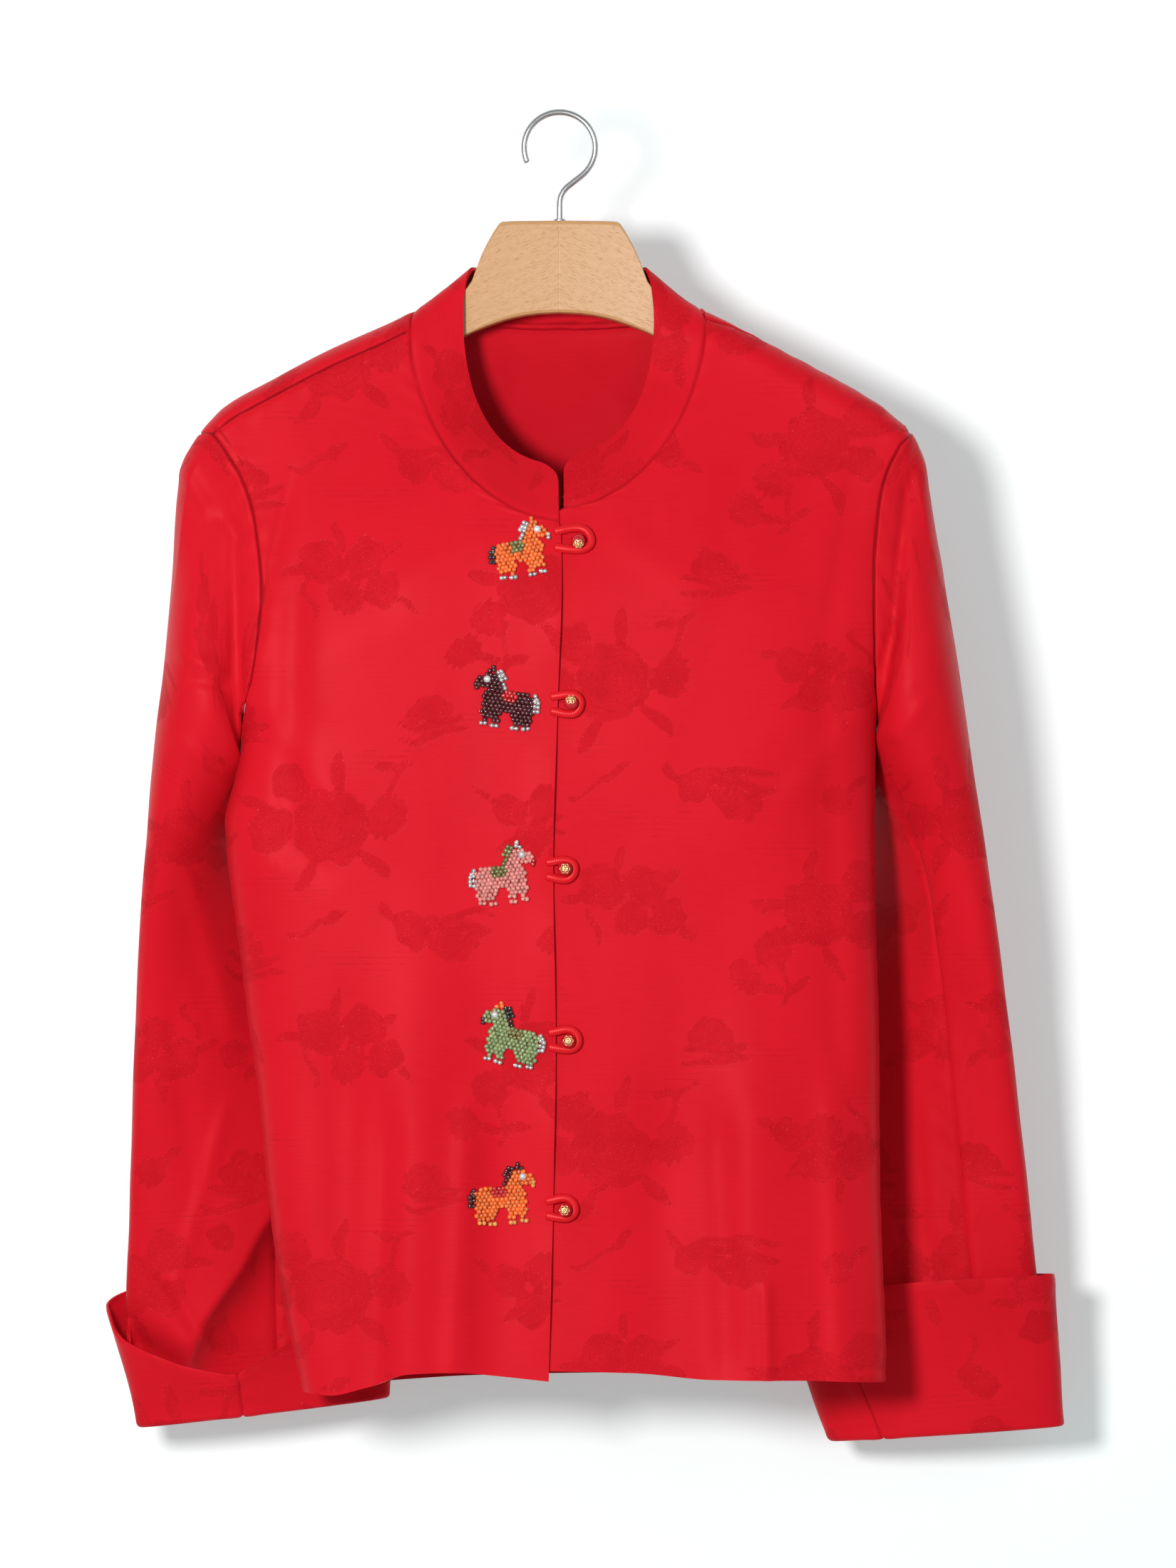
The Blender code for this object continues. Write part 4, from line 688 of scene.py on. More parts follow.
# Shader recipes
class Wire:
    # a socket that can be used in sums
    def __init__(self, recipe, socket):
        self.recipe, self.socket = recipe, socket

    def sum(self, operation, a, b=None, clamp=False):
        values = {0: a} if b is None else {0: a, 1: b}
        return self.recipe.node("Math", {"operation": operation, "use_clamp": clamp}, values)

    def __add__(self, other):
        return self.sum("ADD", self, other)

    def __radd__(self, other):
        return self.sum("ADD", other, self)

    def __sub__(self, other):
        return self.sum("SUBTRACT", self, other)

    def __rsub__(self, other):
        return self.sum("SUBTRACT", other, self)

    def __mul__(self, other):
        return self.sum("MULTIPLY", self, other)

    def __rmul__(self, other):
        return self.sum("MULTIPLY", other, self)

    def __truediv__(self, other):
        return self.sum("DIVIDE", self, other)

    def __abs__(self):
        return self.sum("ABSOLUTE", self)

    def clamp(self):
        return self.sum("ADD", self, 0.0, True)

    def wave(self, period):
        # distance to the nearest whole number of periods, as a share of one
        return self.sum("PINGPONG", self / period, 0.5)


class Recipe:
    def __init__(self, name, colour, roughness, **sockets):
        self.material = bpy.data.materials.new(name)
        self.material.use_nodes = True
        self.tree = self.material.node_tree
        self.shader = self.tree.nodes["Principled BSDF"]
        self.material.diffuse_color = (*colour, 1)
        self.set("Base Color", (*colour, 1))
        self.set("Roughness", roughness)
        for key, value in sockets.items():
            self.set(key.replace("_", " "), value)

    def set(self, name, value):
        socket = self.shader.inputs[name]
        if isinstance(value, Wire):
            self.tree.links.new(value.socket, socket)
        else:
            socket.default_value = value

    def node(self, kind, settings, values, out=0):
        made = self.tree.nodes.new("ShaderNode" + kind)
        for key, value in settings.items():
            if key == "stops":
                ramp = made.color_ramp.elements
                while len(ramp) < len(value):
                    ramp.new(0.5)
                for stop, (place, colour) in zip(ramp, value):
                    stop.position, stop.color = place, (*colour, 1)
            else:
                setattr(made, key, value)
        for key, value in values.items():
            if isinstance(value, Wire):
                self.tree.links.new(value.socket, made.inputs[key])
            else:
                made.inputs[key].default_value = value
        return Wire(self, made.outputs[out])

    def mix(self, share, a, b, blend="MIX"):
        a = a if isinstance(a, Wire) else (*a, 1)
        b = b if isinstance(b, Wire) else (*b, 1)
        return self.node("Mix", {"data_type": "RGBA", "blend_type": blend}, {0: share, 6: a, 7: b}, 2)

    def attribute(self, name):
        return self.node("Attribute", {"attribute_name": name}, {}, 2)

    def split(self, vector):
        return [self.node("SeparateXYZ", {}, {0: vector}, k) for k in range(3)]

    def vector(self, x, y, z):
        return self.node("CombineXYZ", {}, {0: x, 1: y, 2: z})

    def noise(self, vector, scale, detail=2.0):
        return self.node("TexNoise", {}, {"Vector": vector, "Scale": scale, "Detail": detail})

    def bump(self, height, distance, strength=1.0):
        self.set("Normal", self.node("Bump", {}, {"Strength": strength, "Distance": distance, "Height": height}))


silk = {
    "ground": (0.615, 0.0080, 0.0185), "figure": (0.455, 0.0046, 0.0110), "line": (0.380, 0.0036, 0.0086),
    "glint": (0.900, 0.0900, 0.1050), "shade": (0.440, 0.0035, 0.0085), "groundRoughness": 0.44,
    "figureRoughness": 0.56, "relief": 0.00020, "gloss": (1.0, 0.30, 0.32, 1.0), "nap": (1.0, 0.10, 0.13, 1.0),
    # seam: painted shade, the near-black red of the shadow in the seam grooves
    "seam": (0.120, 0.0010, 0.0025),
}


def silkRecipe(name, figured):
    r = Recipe(name, silk["ground"], silk["groundRoughness"], Specular_IOR_Level=0.12, Specular_Tint=silk["gloss"],
               Sheen_Weight=0.12, Sheen_Roughness=0.35, Sheen_Tint=silk["nap"])
    place = r.node("UVMap", {"uv_map": "cut"}, {})
    u, v, _ = r.split(place)
    # warp threads run up the cloth, and the weft shows as faint slubs across it
    slub = r.noise(r.vector(u * 70.0, v * 700.0, 0.0), 1.0)
    warp = r.noise(r.vector(u * 2400.0, v * 160.0, 0.0), 1.0, 1.0)
    shade = r.noise(r.vector(u * 1.0, v * 0.4, 0.0), 26.0, 3.0)
    height = warp * 0.10 + slub * 0.22
    colour = silk["ground"]
    if figured:
        figure, lines, shuttle = r.attribute("figure"), r.attribute("lines"), r.attribute("shuttle")
        grain = r.noise(r.vector(u * 620.0, v * 900.0, 0.7), 1.0, 2.0)
        patchy = (r.noise(r.vector(u, v, 0.3), 52.0, 2.0) * 2.4 - 0.65).clamp()
        fill = (0.5 - figure / 1.5 + (grain - 0.5) * 0.9).clamp()
        rim = (1.0 - abs(figure - 0.2) / 0.9).clamp()
        inner = (1.0 - lines.wave(1.0) / 0.15).clamp() * fill
        dashes = (1.0 - v.wave(0.0034) / 0.24).clamp() * shuttle * (1.0 - fill)
        broken = (r.noise(r.vector(u, v, 0.9), 210.0, 2.0) * 3.4 - 1.15).clamp()
        drawn = (inner * 0.70 + rim * 0.65 + dashes * 0.60).clamp() * (grain * 1.6 + 0.1).clamp() * broken
        spark = (r.noise(r.vector(u * 900.0, v * 1300.0, 1.9), 1.0, 1.0) * 7.0 - 4.5).clamp()
        glints = (rim + inner * 0.8 + fill * 0.5).clamp() * spark * (1.0 - broken * 0.4)
        colour = r.mix(fill * (patchy * 0.50 + 0.16), colour, silk["figure"])
        colour = r.mix(drawn * 0.75, colour, silk["line"])
        colour = r.mix(glints * 0.70, colour, silk["glint"])
        r.set("Roughness", silk["groundRoughness"] + fill * (silk["figureRoughness"] - silk["groundRoughness"]))
        height = height - fill * 0.50 - drawn * 0.60
    tone = (slub - 0.5) * 0.34 + (shade - 0.5) * 0.70
    colour = r.mix((tone + 0.10).clamp(), colour, silk["shade"])
    # painted shade: the cloth's colour is darkened along the seam grooves by the seam attribute
    r.set("Base Color", r.mix(r.attribute("seam") * 0.75, colour, silk["seam"]))
    r.bump(height, silk["relief"], 0.75)
    return r.material


jacquard = silkRecipe("jacquardSilk", True)
plainSatin = silkRecipe("plainSatin", False)


def cordRecipe():
    r = Recipe("biasCord", (0.66, 0.008, 0.015), 0.34, Specular_Tint=silk["gloss"])
    u, v, _ = r.split(r.node("UVMap", {"uv_map": "cut"}, {}))
    twill = (u + v * 0.6).wave(0.0011)
    r.set("Base Color", r.mix(twill * 0.9, (0.70, 0.009, 0.016), (0.46, 0.004, 0.008)))
    r.bump(twill, 0.00010, 0.7)
    return r.material


def ballRecipe():
    r = Recipe("redBall", (0.50, 0.006, 0.012), 0.12, Coat_Weight=0.8, Coat_Roughness=0.04)
    place = r.node("TexCoord", {}, {}, 3)
    veins = r.noise(place, 900.0, 3.0)
    r.set("Base Color", r.mix((veins * 2.0 - 0.7).clamp(), (0.56, 0.008, 0.014), (0.30, 0.002, 0.004)))
    r.set("Roughness", veins * 0.14 + 0.06)
    return r.material


def giltRecipe():
    r = Recipe("gilt", (0.98, 0.76, 0.36), 0.24, Metallic=0.85)
    place = r.node("TexCoord", {}, {}, 3)
    worn = r.noise(place, 1400.0, 3.0)
    r.set("Base Color", r.mix((worn * 1.8 - 0.7).clamp(), (1.0, 0.80, 0.40), (0.74, 0.48, 0.17)))
    r.set("Roughness", worn * 0.30 + 0.10)
    r.bump(worn, 0.00004, 0.5)
    return r.material


def beadRecipe():
    r = Recipe("seedBeads", (0.5, 0.25, 0.12), 0.14, Coat_Weight=1.0, Coat_Roughness=0.05)
    tint = r.node("Attribute", {"attribute_name": "tint"}, {}, 0)
    gleam = r.attribute("gleam")
    place = r.node("TexCoord", {}, {}, 3)
    cloudy = r.noise(place, 700.0, 2.0)
    r.set("Base Color", r.mix((cloudy * 1.4 - 0.45).clamp() * 0.55, tint, (0.05, 0.02, 0.015), "MULTIPLY"))
    r.set("Metallic", gleam)
    r.set("Roughness", 0.22 - gleam * 0.06 + cloudy * 0.10)
    return r.material


def beechRecipe():
    # the two halves are glued up so that the grain meets in a V
    r = Recipe("beech", (0.64, 0.39, 0.20), 0.42, Coat_Weight=0.12, Coat_Roughness=0.25)
    x, y, z = r.split(r.node("TexCoord", {}, {}, 3))
    away = abs(x + 0.0004)
    across = z * 0.93 + away * 0.37 + y * 0.15
    along = away * 0.93 - z * 0.37
    sway = r.noise(r.vector(along * 22.0, across * 60.0, y * 20.0), 1.0, 3.0)
    rings = (across + sway * 0.014).wave(0.0064) * 2.0
    pores = r.noise(r.vector(along * 260.0, across * 2600.0, y * 900.0), 1.0, 2.0)
    flecks = (pores * 5.0 - 2.85).clamp()
    glue = (1.0 - abs(x + 0.0004) / 0.00028).clamp()
    colour = r.mix(rings * 0.30, (0.560, 0.300, 0.125), (0.480, 0.235, 0.085))
    colour = r.mix(flecks * 0.65, colour, (0.300, 0.125, 0.042))
    r.set("Base Color", r.mix(glue * 0.55, colour, (0.33, 0.18, 0.09)))
    r.set("Roughness", 0.32 + flecks * 0.20 + sway * 0.08)
    r.bump(flecks * -0.8 - glue * 0.8, 0.00012, 0.6)
    return r.material


def steelRecipe():
    r = Recipe("brightWire", (0.62, 0.62, 0.63), 0.18, Metallic=1.0)
    x, y, z = r.split(r.node("TexCoord", {}, {}, 3))
    drawn = r.noise(r.vector(x * 900.0, y * 900.0, z * 60.0), 1.0, 2.0)
    r.set("Base Color", r.mix((drawn * 1.6 - 0.5).clamp(), (0.68, 0.68, 0.69), (0.42, 0.42, 0.44)))
    r.set("Roughness", drawn * 0.20 + 0.10)
    r.bump(drawn, 0.00003, 0.4)
    return r.material


cordSatin, redBall, gilt, seedBeads = cordRecipe(), ballRecipe(), giltRecipe(), beadRecipe()
beech, brightWire = beechRecipe(), steelRecipe()
print("materials made:", len(bpy.data.materials))


# Pieces and the solids they stand for
def linked(name, data):
    made = bpy.data.objects.new(name, data)
    bpy.context.scene.collection.objects.link(made)
    return made


def standsFor(made, node):
    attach(made, "root")
    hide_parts(node)


# Cloth shells
def closedRing(grid):
    return np.concatenate([grid, grid[:, :1]], 1)


def gridNormals(points, ring=False):
    along = np.gradient(points, axis=0)
    if ring:
        across = np.roll(points, -1, axis=1) - np.roll(points, 1, axis=1)
    else:
        across = np.gradient(points, axis=1)
    normals = np.cross(across, along)
    return normals / np.maximum(np.linalg.norm(normals, axis=2, keepdims=True), 1e-12)


def spans(points, axis):
    steps = np.linalg.norm(np.diff(points, axis=axis), axis=2)
    start = np.zeros_like(steps.take([0], axis=axis))
    return np.concatenate([start, np.cumsum(steps, axis=axis)], axis=axis)


seamForm = {
    "groove": 0.0012, "grooveWidth": 0.0010, "allowance": 0.00022, "allowanceAt": 0.0055, "allowanceWidth": 0.0036,
    "pucker": 0.00016, "puckerWidth": 0.010, "stitchLine": 0.0008,
    "waves": ((410, 1.0, 1.0), (267, 0.7, 2.1), (151, 0.5, 1.0)),
    # the last two turn the groove's depth into painted shade along the seams
    "shadeMark": 1.4, "shadeFrom": 0.45,
}
# shares of the first and last cell where rows are added beside a seam
seamRows = (0.22, 0.48, 0.74)


def closeRows(grid, axis, atStart=True, atEnd=True):
    grid = np.moveaxis(grid, axis, 0)
    first = [grid[0] + (grid[1] - grid[0]) * share for share in seamRows] if atStart else []
    last = [grid[-2] + (grid[-1] - grid[-2]) * share for share in seamRows] if atEnd else []
    rows = [grid[0], *first, *grid[1:-1], *last, grid[-1]]
    return np.moveaxis(np.array(rows), 0, axis)


def seamRelief(distance, along, phase, deep=1.0):
    # a seam lies in a groove, and the allowance under it lifts the cloth beside it, with small puckers
    groove = -deep * seamForm["groove"] * np.exp(-((distance / seamForm["grooveWidth"]) ** 2))
    beside = (distance - seamForm["allowanceAt"]) / seamForm["allowanceWidth"]
    lift = seamForm["allowance"] * np.exp(-(beside ** 2))
    wave = sum(size * np.sin(along * often + turn * phase) for often, size, turn in seamForm["waves"])
    near = np.exp(-((distance / seamForm["puckerWidth"]) ** 2)) * (distance > seamForm["stitchLine"])
    return groove + lift + seamForm["pucker"] * wave * near


# creases: face, x and z at each end, half width, height, and how much sharper its upper or left side is
def creaseRelief(points, normals, creases):
    total = np.zeros(points.shape[:2])
    x, z, front = points[..., 0], points[..., 2], normals[..., 1] < 0
    for face, x0, z0, x1, z1, halfWidth, height, sharper in creases:
        reach = math.hypot(x1 - x0, z1 - z0)
        ex, ez = (x1 - x0) / reach, (z1 - z0) / reach
        t = ((x - x0) * ex + (z - z0) * ez) / reach
        d = (x - x0) * ez - (z - z0) * ex
        d = np.where(d > 0, d * sharper, d) / halfWidth
        fade = smooth(t / 0.3 + 0.5) * smooth((1 - t) / 0.3 + 0.5)
        total += height * np.exp(-d * d) * fade * (front == (face == "front"))
    return total


def clothPiece(name, points, uv, thickness, flip, ring, relief, seams, own):
    # a closed shell whose patterned side is the outer one, for the solid of the same name
    turn = -1 if flip else 1
    normals = gridNormals(points, ring) * turn
    outer = points + normals * (relief + seams)[..., None]
    inner = outer - gridNormals(outer, ring) * turn * thickness
    rows, columns = points.shape[:2]
    wide = columns + 1 if ring else columns
    a = (np.arange(rows - 1)[:, None] * wide + np.arange(wide - 1)[None]).ravel()
    quads = np.stack([a, a + 1, a + 1 + wide, a + wide], 1)
    bottom, top = np.arange(wide - 1), (rows - 1) * wide + np.arange(wide - 1)
    rims = [np.stack([bottom + 1, bottom], 1), np.stack([top, top + 1], 1)]
    if not ring:
        first, last = np.arange(rows - 1) * wide, np.arange(1, rows) * wide - 1
        rims += [np.stack([first, first + wide], 1), np.stack([last + wide, last], 1)]
    rims = np.concatenate(rims)
    # every corner by its place in the flat cut, and then by its point
    corners = np.concatenate([quads, quads[:, ::-1], np.stack([rims[:, 0], rims[:, 1], rims[:, 1], rims[:, 0]], 1)])
    isInner = np.zeros(corners.shape, bool)
    isInner[len(quads):2 * len(quads)] = True
    isInner[2 * len(quads):, 2:] = True
    vertex = corners // wide * columns + corners % wide % columns + isInner * rows * columns
    if flip:
        corners, vertex = corners[:, ::-1], vertex[:, ::-1]
    mesh = bpy.data.meshes.new(name)
    mesh.from_pydata(np.concatenate([outer.reshape(-1, 3), inner.reshape(-1, 3)]).tolist(), [], vertex.tolist())
    mesh.materials.append(jacquard)
    mesh.materials.append(plainSatin)
    slots = np.zeros(len(corners), np.int32)
    slots[len(quads):2 * len(quads)] = 1
    mesh.polygons.foreach_set("material_index", slots)
    layer = mesh.uv_layers.new(name="cut")
    layer.data.foreach_set("uv", uv.reshape(-1, 2)[corners.ravel()].astype(np.float32).ravel())
    # painted shade: the seam grooves' shadow, darker where the groove is deeper, kept as the seam attribute
    grooveShade = np.clip(-seamForm["shadeMark"] * seams / seamForm["groove"] - seamForm["shadeFrom"], 0, 1)
    if ring:
        grooveShade = closedRing(grooveShade)
    fields = (*figureFields(uv[..., 0], uv[..., 1], own["shift"]), grooveShade)
    for key, values in zip(("figure", "lines", "shuttle", "seam"), fields):
        mesh.attributes.new(key, "FLOAT", "CORNER").data.foreach_set(
            "value", values.ravel()[corners.ravel()].astype(np.float32))
    mesh.shade_smooth()
    mesh.set_sharp_from_angle(angle=math.radians(50))
    made = linked("silk_" + name, mesh)
    standsFor(made, name)
    print("cloth piece", name, "with", len(vertex), "faces, outer area", round(float(areaOf(outer, ring)), 4))
    return made


def areaOf(points, ring):
    grid = closedRing(points) if ring else points
    a, b, c, d = grid[:-1, :-1], grid[:-1, 1:], grid[1:, 1:], grid[1:, :-1]
    return 0.5 * np.linalg.norm(np.cross(c - a, d - b), axis=2).sum()


# the main creases of the fronts, from the photograph
bodyCreases = (
    ("front", -0.150, -0.205, -0.172, -0.300, 0.0060, -0.0014, 1.6),
    ("front", -0.168, -0.330, -0.120, -0.392, 0.0110, 0.0013, 1.4),
    ("front", -0.176, -0.392, -0.128, -0.428, 0.0090, -0.0010, 1.0),
    ("front", 0.172, -0.330, 0.128, -0.385, 0.0110, 0.0012, 1.4),
    ("front", 0.165, -0.200, 0.150, -0.290, 0.0080, -0.0010, 1.3),
    ("front", 0.030, -0.235, 0.085, -0.275, 0.0120, 0.0007, 1.2),
    ("front", -0.040, -0.235, -0.095, -0.270, 0.0130, 0.0007, 1.2),
    ("front", -0.052, -0.560, -0.060, -0.720, 0.0110, 0.0032, 1.5),
    ("front", -0.098, -0.560, -0.103, -0.725, 0.0100, -0.0036, 1.4),
    ("front", 0.114, -0.655, 0.116, -0.716, 0.0045, 0.0022, 1.8),
    ("front", 0.088, -0.560, 0.094, -0.712, 0.0120, -0.0030, 1.4),
    ("front", 0.150, -0.540, 0.158, -0.715, 0.0110, 0.0026, 1.5),
    ("back", -0.150, -0.230, -0.168, -0.330, 0.0070, -0.0012, 1.4),
    ("back", 0.152, -0.230, 0.168, -0.330, 0.0070, -0.0012, 1.4),
    ("back", -0.165, -0.345, -0.105, -0.400, 0.0120, 0.0015, 1.4),
    ("back", 0.165, -0.340, 0.100, -0.405, 0.0120, 0.0015, 1.4),
    ("back", -0.060, -0.470, -0.066, -0.715, 0.0100, 0.0014, 1.3),
    ("back", 0.082, -0.500, 0.078, -0.715, 0.0100, -0.0013, 1.3),
    ("back", 0.020, -0.140, 0.060, -0.200, 0.0120, 0.0009, 1.3),
    ("back", -0.020, -0.140, -0.062, -0.205, 0.0120, 0.0009, 1.3),
)


def bodyRelief(points, normals):
    x, z = points[..., 0], points[..., 2]
    soft = 0.00030 * np.sin(x * 61 + 1.3 * np.sin(z * 23)) * np.sin(z * 37 + 2.0 * np.sin(x * 19 + 0.7))
    return creaseRelief(points, normals, bodyCreases) + soft


bodyPieces = {
    "fineRows": 12, "fineColumns": 12, "backRows": 10, "backColumns": 6,
    # between the buttons the edge of the upper front gapes a little
    "gape": 0.0016, "gapeWidth": 0.022, "buttonTop": -0.2414, "buttonPitch": 0.0932,
    "front_over": {"shift": (40, 120), "flat": (0.225, 0.610), "area": 0.1120},
    "front_under": {"shift": (118, 40), "flat": (0.235, 0.610), "area": 0.1220},
    "back": {"shift": (10, 200), "flat": (0.400, 0.610), "area": 0.2200},
}


def bodyUv(places, face):
    x, p = places[..., 0], places[..., 1]
    ridge = np.where(x < 0, leftSide["ridgeAt"](np.abs(x)), rightSide["ridgeAt"](np.abs(x)))
    return np.stack([x + 0.5, ridge - face * p * cut["arch"] * math.pi / 2 + 1.0], -1)


def lapLift(places):
    # the upper front stands off the lower one beside its edge
    z = leftSide["ridgeAt"](np.abs(places[..., 0])) - dropAt(places[..., 1])
    reach = (placketX(z) - places[..., 0]) / cut["lapWidth"]
    return cut["lapLift"] * (1 - smooth(reach)) * smooth((cut["lapTop"] - z) / cut["lapEase"])


def buildFront(side, name):
    own = bodyPieces[name]
    places = frontPlaces(side, bodyPieces["fineRows"], bodyPieces["fineColumns"])
    neckRow = (cut["sideRows"] + cut["frontArmRows"] - cut["neckRows"]) * bodyPieces["fineRows"]
    places = closeRows(closeRows(places, 0, False), 1)
    flip = side is leftSide
    points = bodyPoints(places[..., 0], places[..., 1], lapLift(places) if flip else 0.0)
    normals = gridNormals(points) * (-1 if flip else 1)
    down, across = spans(points, 0), spans(points, 1)
    relief = bodyRelief(points, normals)
    neck = seamRelief(across, down, 3.0, 0.85)
    neck[:neckRow] = 0
    seams = seamRelief(across[:, -1:] - across, down, 1.0) + seamRelief(down[-1:] - down, across, 2.0) + neck
    if side is leftSide:
        below = bodyPieces["buttonTop"] - points[..., 2]
        gap = 0.5 - 0.5 * np.cos(below / bodyPieces["buttonPitch"] * 2 * math.pi)
        relief += bodyPieces["gape"] * gap * (1 - smooth(across / bodyPieces["gapeWidth"])) * smooth(below / 0.03)
    return clothPiece(name, points, bodyUv(places, 1), cut["wall"], flip, False, relief, seams, own)


def buildBack():
    own = bodyPieces["back"]
    places = backPlaces(bodyPieces["backRows"], bodyPieces["backColumns"])
    places = closeRows(closeRows(places, 0, False), 1)
    points = bodyPoints(places[..., 0], places[..., 1])
    down, across = spans(points, 0), spans(points, 1)
    relief = bodyRelief(points, -gridNormals(points))
    seams = seamRelief(across, down, 1.0) + seamRelief(across[:, -1:] - across, down, 1.7)
    seams += seamRelief(down[-1:] - down, across, 2.0)
    clothPiece("back", points, bodyUv(places, -1), cut["wall"], True, False, relief, seams, own)


def buildCollar():
    fine = collar["fine"]
    left, right = frontPlaces(leftSide, fine, 1), frontPlaces(rightSide, fine, 1)
    lowLeft = bodyPoints(left[..., 0], left[..., 1], lapLift(left))
    lowRight = bodyPoints(right[..., 0], right[..., 1])
    backPlace = backPlaces(1, fine)
    backRow = bodyPoints(backPlace[..., 0], backPlace[..., 1])
    points = closeRows(collarPoints(lowLeft, backRow, lowRight, fine), 0, True, False)
    up, along = spans(points, 0), spans(points, 1)
    seams = seamRelief(np.abs(up - collar["allowance"]), along, 1.0, 0.7)
    relief = 0.00012 * np.sin(along * 60 + 3 * up * 90) * np.sin(math.pi * up / up[-1:])
    uv = np.stack([np.broadcast_to(along[-1:], up.shape) + 0.2, up + 0.4], -1)
    clothPiece("collar", points, uv, cut["collarWall"], True, False, relief, seams, collar)


sleeveCut = {
    "around": 9, "spacing": 0.0026, "allowance": 0.0048, "tuck": 0.0016,
    # creases of the sleeves, as for the body
    "left": {"shift": (90, 30), "flat": (0.350, 0.590), "area": 0.165, "creases": (
        ("front", -0.1826, -0.236, -0.1812, -0.305, 0.0046, -0.0020, 1.6),
        ("front", -0.1812, -0.300, -0.1785, -0.340, 0.0044, -0.0016, 1.6),
        ("front", -0.1900, -0.226, -0.1780, -0.242, 0.0044, -0.0014, 1.5),
        ("front", -0.2120, -0.200, -0.1960, -0.225, 0.0050, 0.0014, 1.4),
        ("front", -0.2130, -0.305, -0.1860, -0.314, 0.0042, 0.0013, 1.6),
        ("front", -0.2080, -0.318, -0.1860, -0.323, 0.0034, -0.0012, 1.4),
        ("front", -0.2150, -0.352, -0.1880, -0.372, 0.0060, 0.0011, 1.4),
        ("front", -0.2080, -0.430, -0.1850, -0.520, 0.0085, 0.0018, 1.4),
        ("front", -0.2200, -0.500, -0.2050, -0.620, 0.0080, -0.0012, 1.2),
        ("front", -0.1900, -0.560, -0.2180, -0.660, 0.0060, 0.0014, 1.6),
        ("front", -0.2330, -0.655, -0.2120, -0.690, 0.0030, -0.0014, 1.0),
        ("front", -0.2220, -0.655, -0.2010, -0.696, 0.0030, 0.0012, 1.0),
        ("back", -0.2100, -0.250, -0.1900, -0.340, 0.0080, 0.0016, 1.4),
        ("back", -0.2150, -0.390, -0.1850, -0.430, 0.0060, -0.0014, 1.4),
        ("back", -0.2150, -0.410, -0.1850, -0.450, 0.0060, 0.0014, 1.4),
        ("back", -0.1800, -0.520, -0.1900, -0.640, 0.0090, 0.0015, 1.4),
    )},
    "right": {"shift": (200, 150), "flat": (0.350, 0.590), "area": 0.165, "creases": (
        ("front", 0.2004, -0.190, 0.1944, -0.216, 0.0044, -0.0014, 1.5),
        ("front", 0.1944, -0.212, 0.1906, -0.246, 0.0044, -0.0020, 1.6),
        ("front", 0.1906, -0.242, 0.1860, -0.296, 0.0044, -0.0022, 1.6),
        ("front", 0.1860, -0.292, 0.1784, -0.318, 0.0044, -0.0016, 1.5),
        ("front", 0.2050, -0.330, 0.1860, -0.352, 0.0060, 0.0012, 1.4),
        ("front", 0.2180, -0.420, 0.2020, -0.520, 0.0080, 0.0014, 1.4),
        ("front", 0.2300, -0.480, 0.2380, -0.600, 0.0080, -0.0012, 1.2),
        ("front", 0.2080, -0.560, 0.2150, -0.640, 0.0070, 0.0012, 1.4),
        ("back", 0.2080, -0.250, 0.1900, -0.340, 0.0080, 0.0016, 1.4),
        ("back", 0.2180, -0.390, 0.1880, -0.432, 0.0060, -0.0014, 1.4),
        ("back", 0.2180, -0.412, 0.1880, -0.452, 0.0060, 0.0014, 1.4),
        ("back", 0.2050, -0.520, 0.2150, -0.640, 0.0090, 0.0015, 1.4),
    )},
}


def buildSleeve(side, name):
    loop, underarm = sleeveLoop(side, sleeveCut["around"])
    coarse, turn = sleevePoints(side, loop)
    points = closeRows(moreRows(coarse, sleeveCut["spacing"]), 0, True, False)
    if side is leftSide:
        points[..., 1] += cuffFold(points, turn[None])
    points = np.roll(points, -underarm, axis=1)  # the row of corners starts at the underarm seam
    flip = side is leftSide
    back = points[0] - points[1]
    back *= sleeveCut["allowance"] / np.linalg.norm(back, axis=1, keepdims=True)
    inward = gridNormals(points, True)[0] * (1 if flip else -1) * sleeveCut["tuck"]
    points = np.concatenate([(points[0] + back + inward)[None], points])
    normals = gridNormals(points, True) * (-1 if flip else 1)
    down = spans(points, 0)
    down = np.abs(down - down[1:2])
    around = spans(closedRing(points), 1)
    relief = creaseRelief(points, normals, sleeveCut[name]["creases"])
    under = np.minimum(around[:, :-1], around[:, -1:] - around[:, :-1])
    relief += seamRelief(under, down, 0.6)
    seams = seamRelief(down, around[:, :-1], 1.3)
    x, z = points[..., 0], points[..., 2]
    relief += 0.00035 * np.sin(x * 83 + 1.7 * np.sin(z * 31)) * np.sin(z * 43 + 1.5 * np.sin(x * 29))
    middle = around - around[:, -1:] / 2
    length = down.mean(1)
    uv = np.stack([middle + 0.6, np.broadcast_to(1.0 - length[:, None], middle.shape)], -1)
    clothPiece("sleeve_" + name, points, uv, cut["wall"], flip, True, relief, seams, sleeveCut[name])
    return loopTurns(loop)[0]


frontOver = buildFront(leftSide, "front_over")
frontUnder = buildFront(rightSide, "front_under")
buildBack()
buildCollar()
leftTurn = buildSleeve(leftSide, "left")
rightTurn = buildSleeve(rightSide, "right")


cuffs = {
    "around": 168, "wall": 0.0013, "lip": 0.0030, "lipShare": 0.9, "flare": 0.0085, "flareTurn": 1.3, "hem": 0.012,
    "inside": -0.0026, "outside": 0.0024, "tall": 0.088, "spacing": 0.0030, "hemRows": 4, "lipRows": 8,
    # degrees round the arm of the notch, and the places of the columns beside it
    "notch": {"left": 170.0, "right": 212.0}, "beside": (-2.4, -1.5, -0.9, -0.45, 0.0, 0.45, 0.9, 1.5, 2.4),
    "left": {"shift": (30, 210), "flat": (0.340, 0.125), "area": 0.033},
    "right": {"shift": (140, 260), "flat": (0.340, 0.125), "area": 0.033},
}


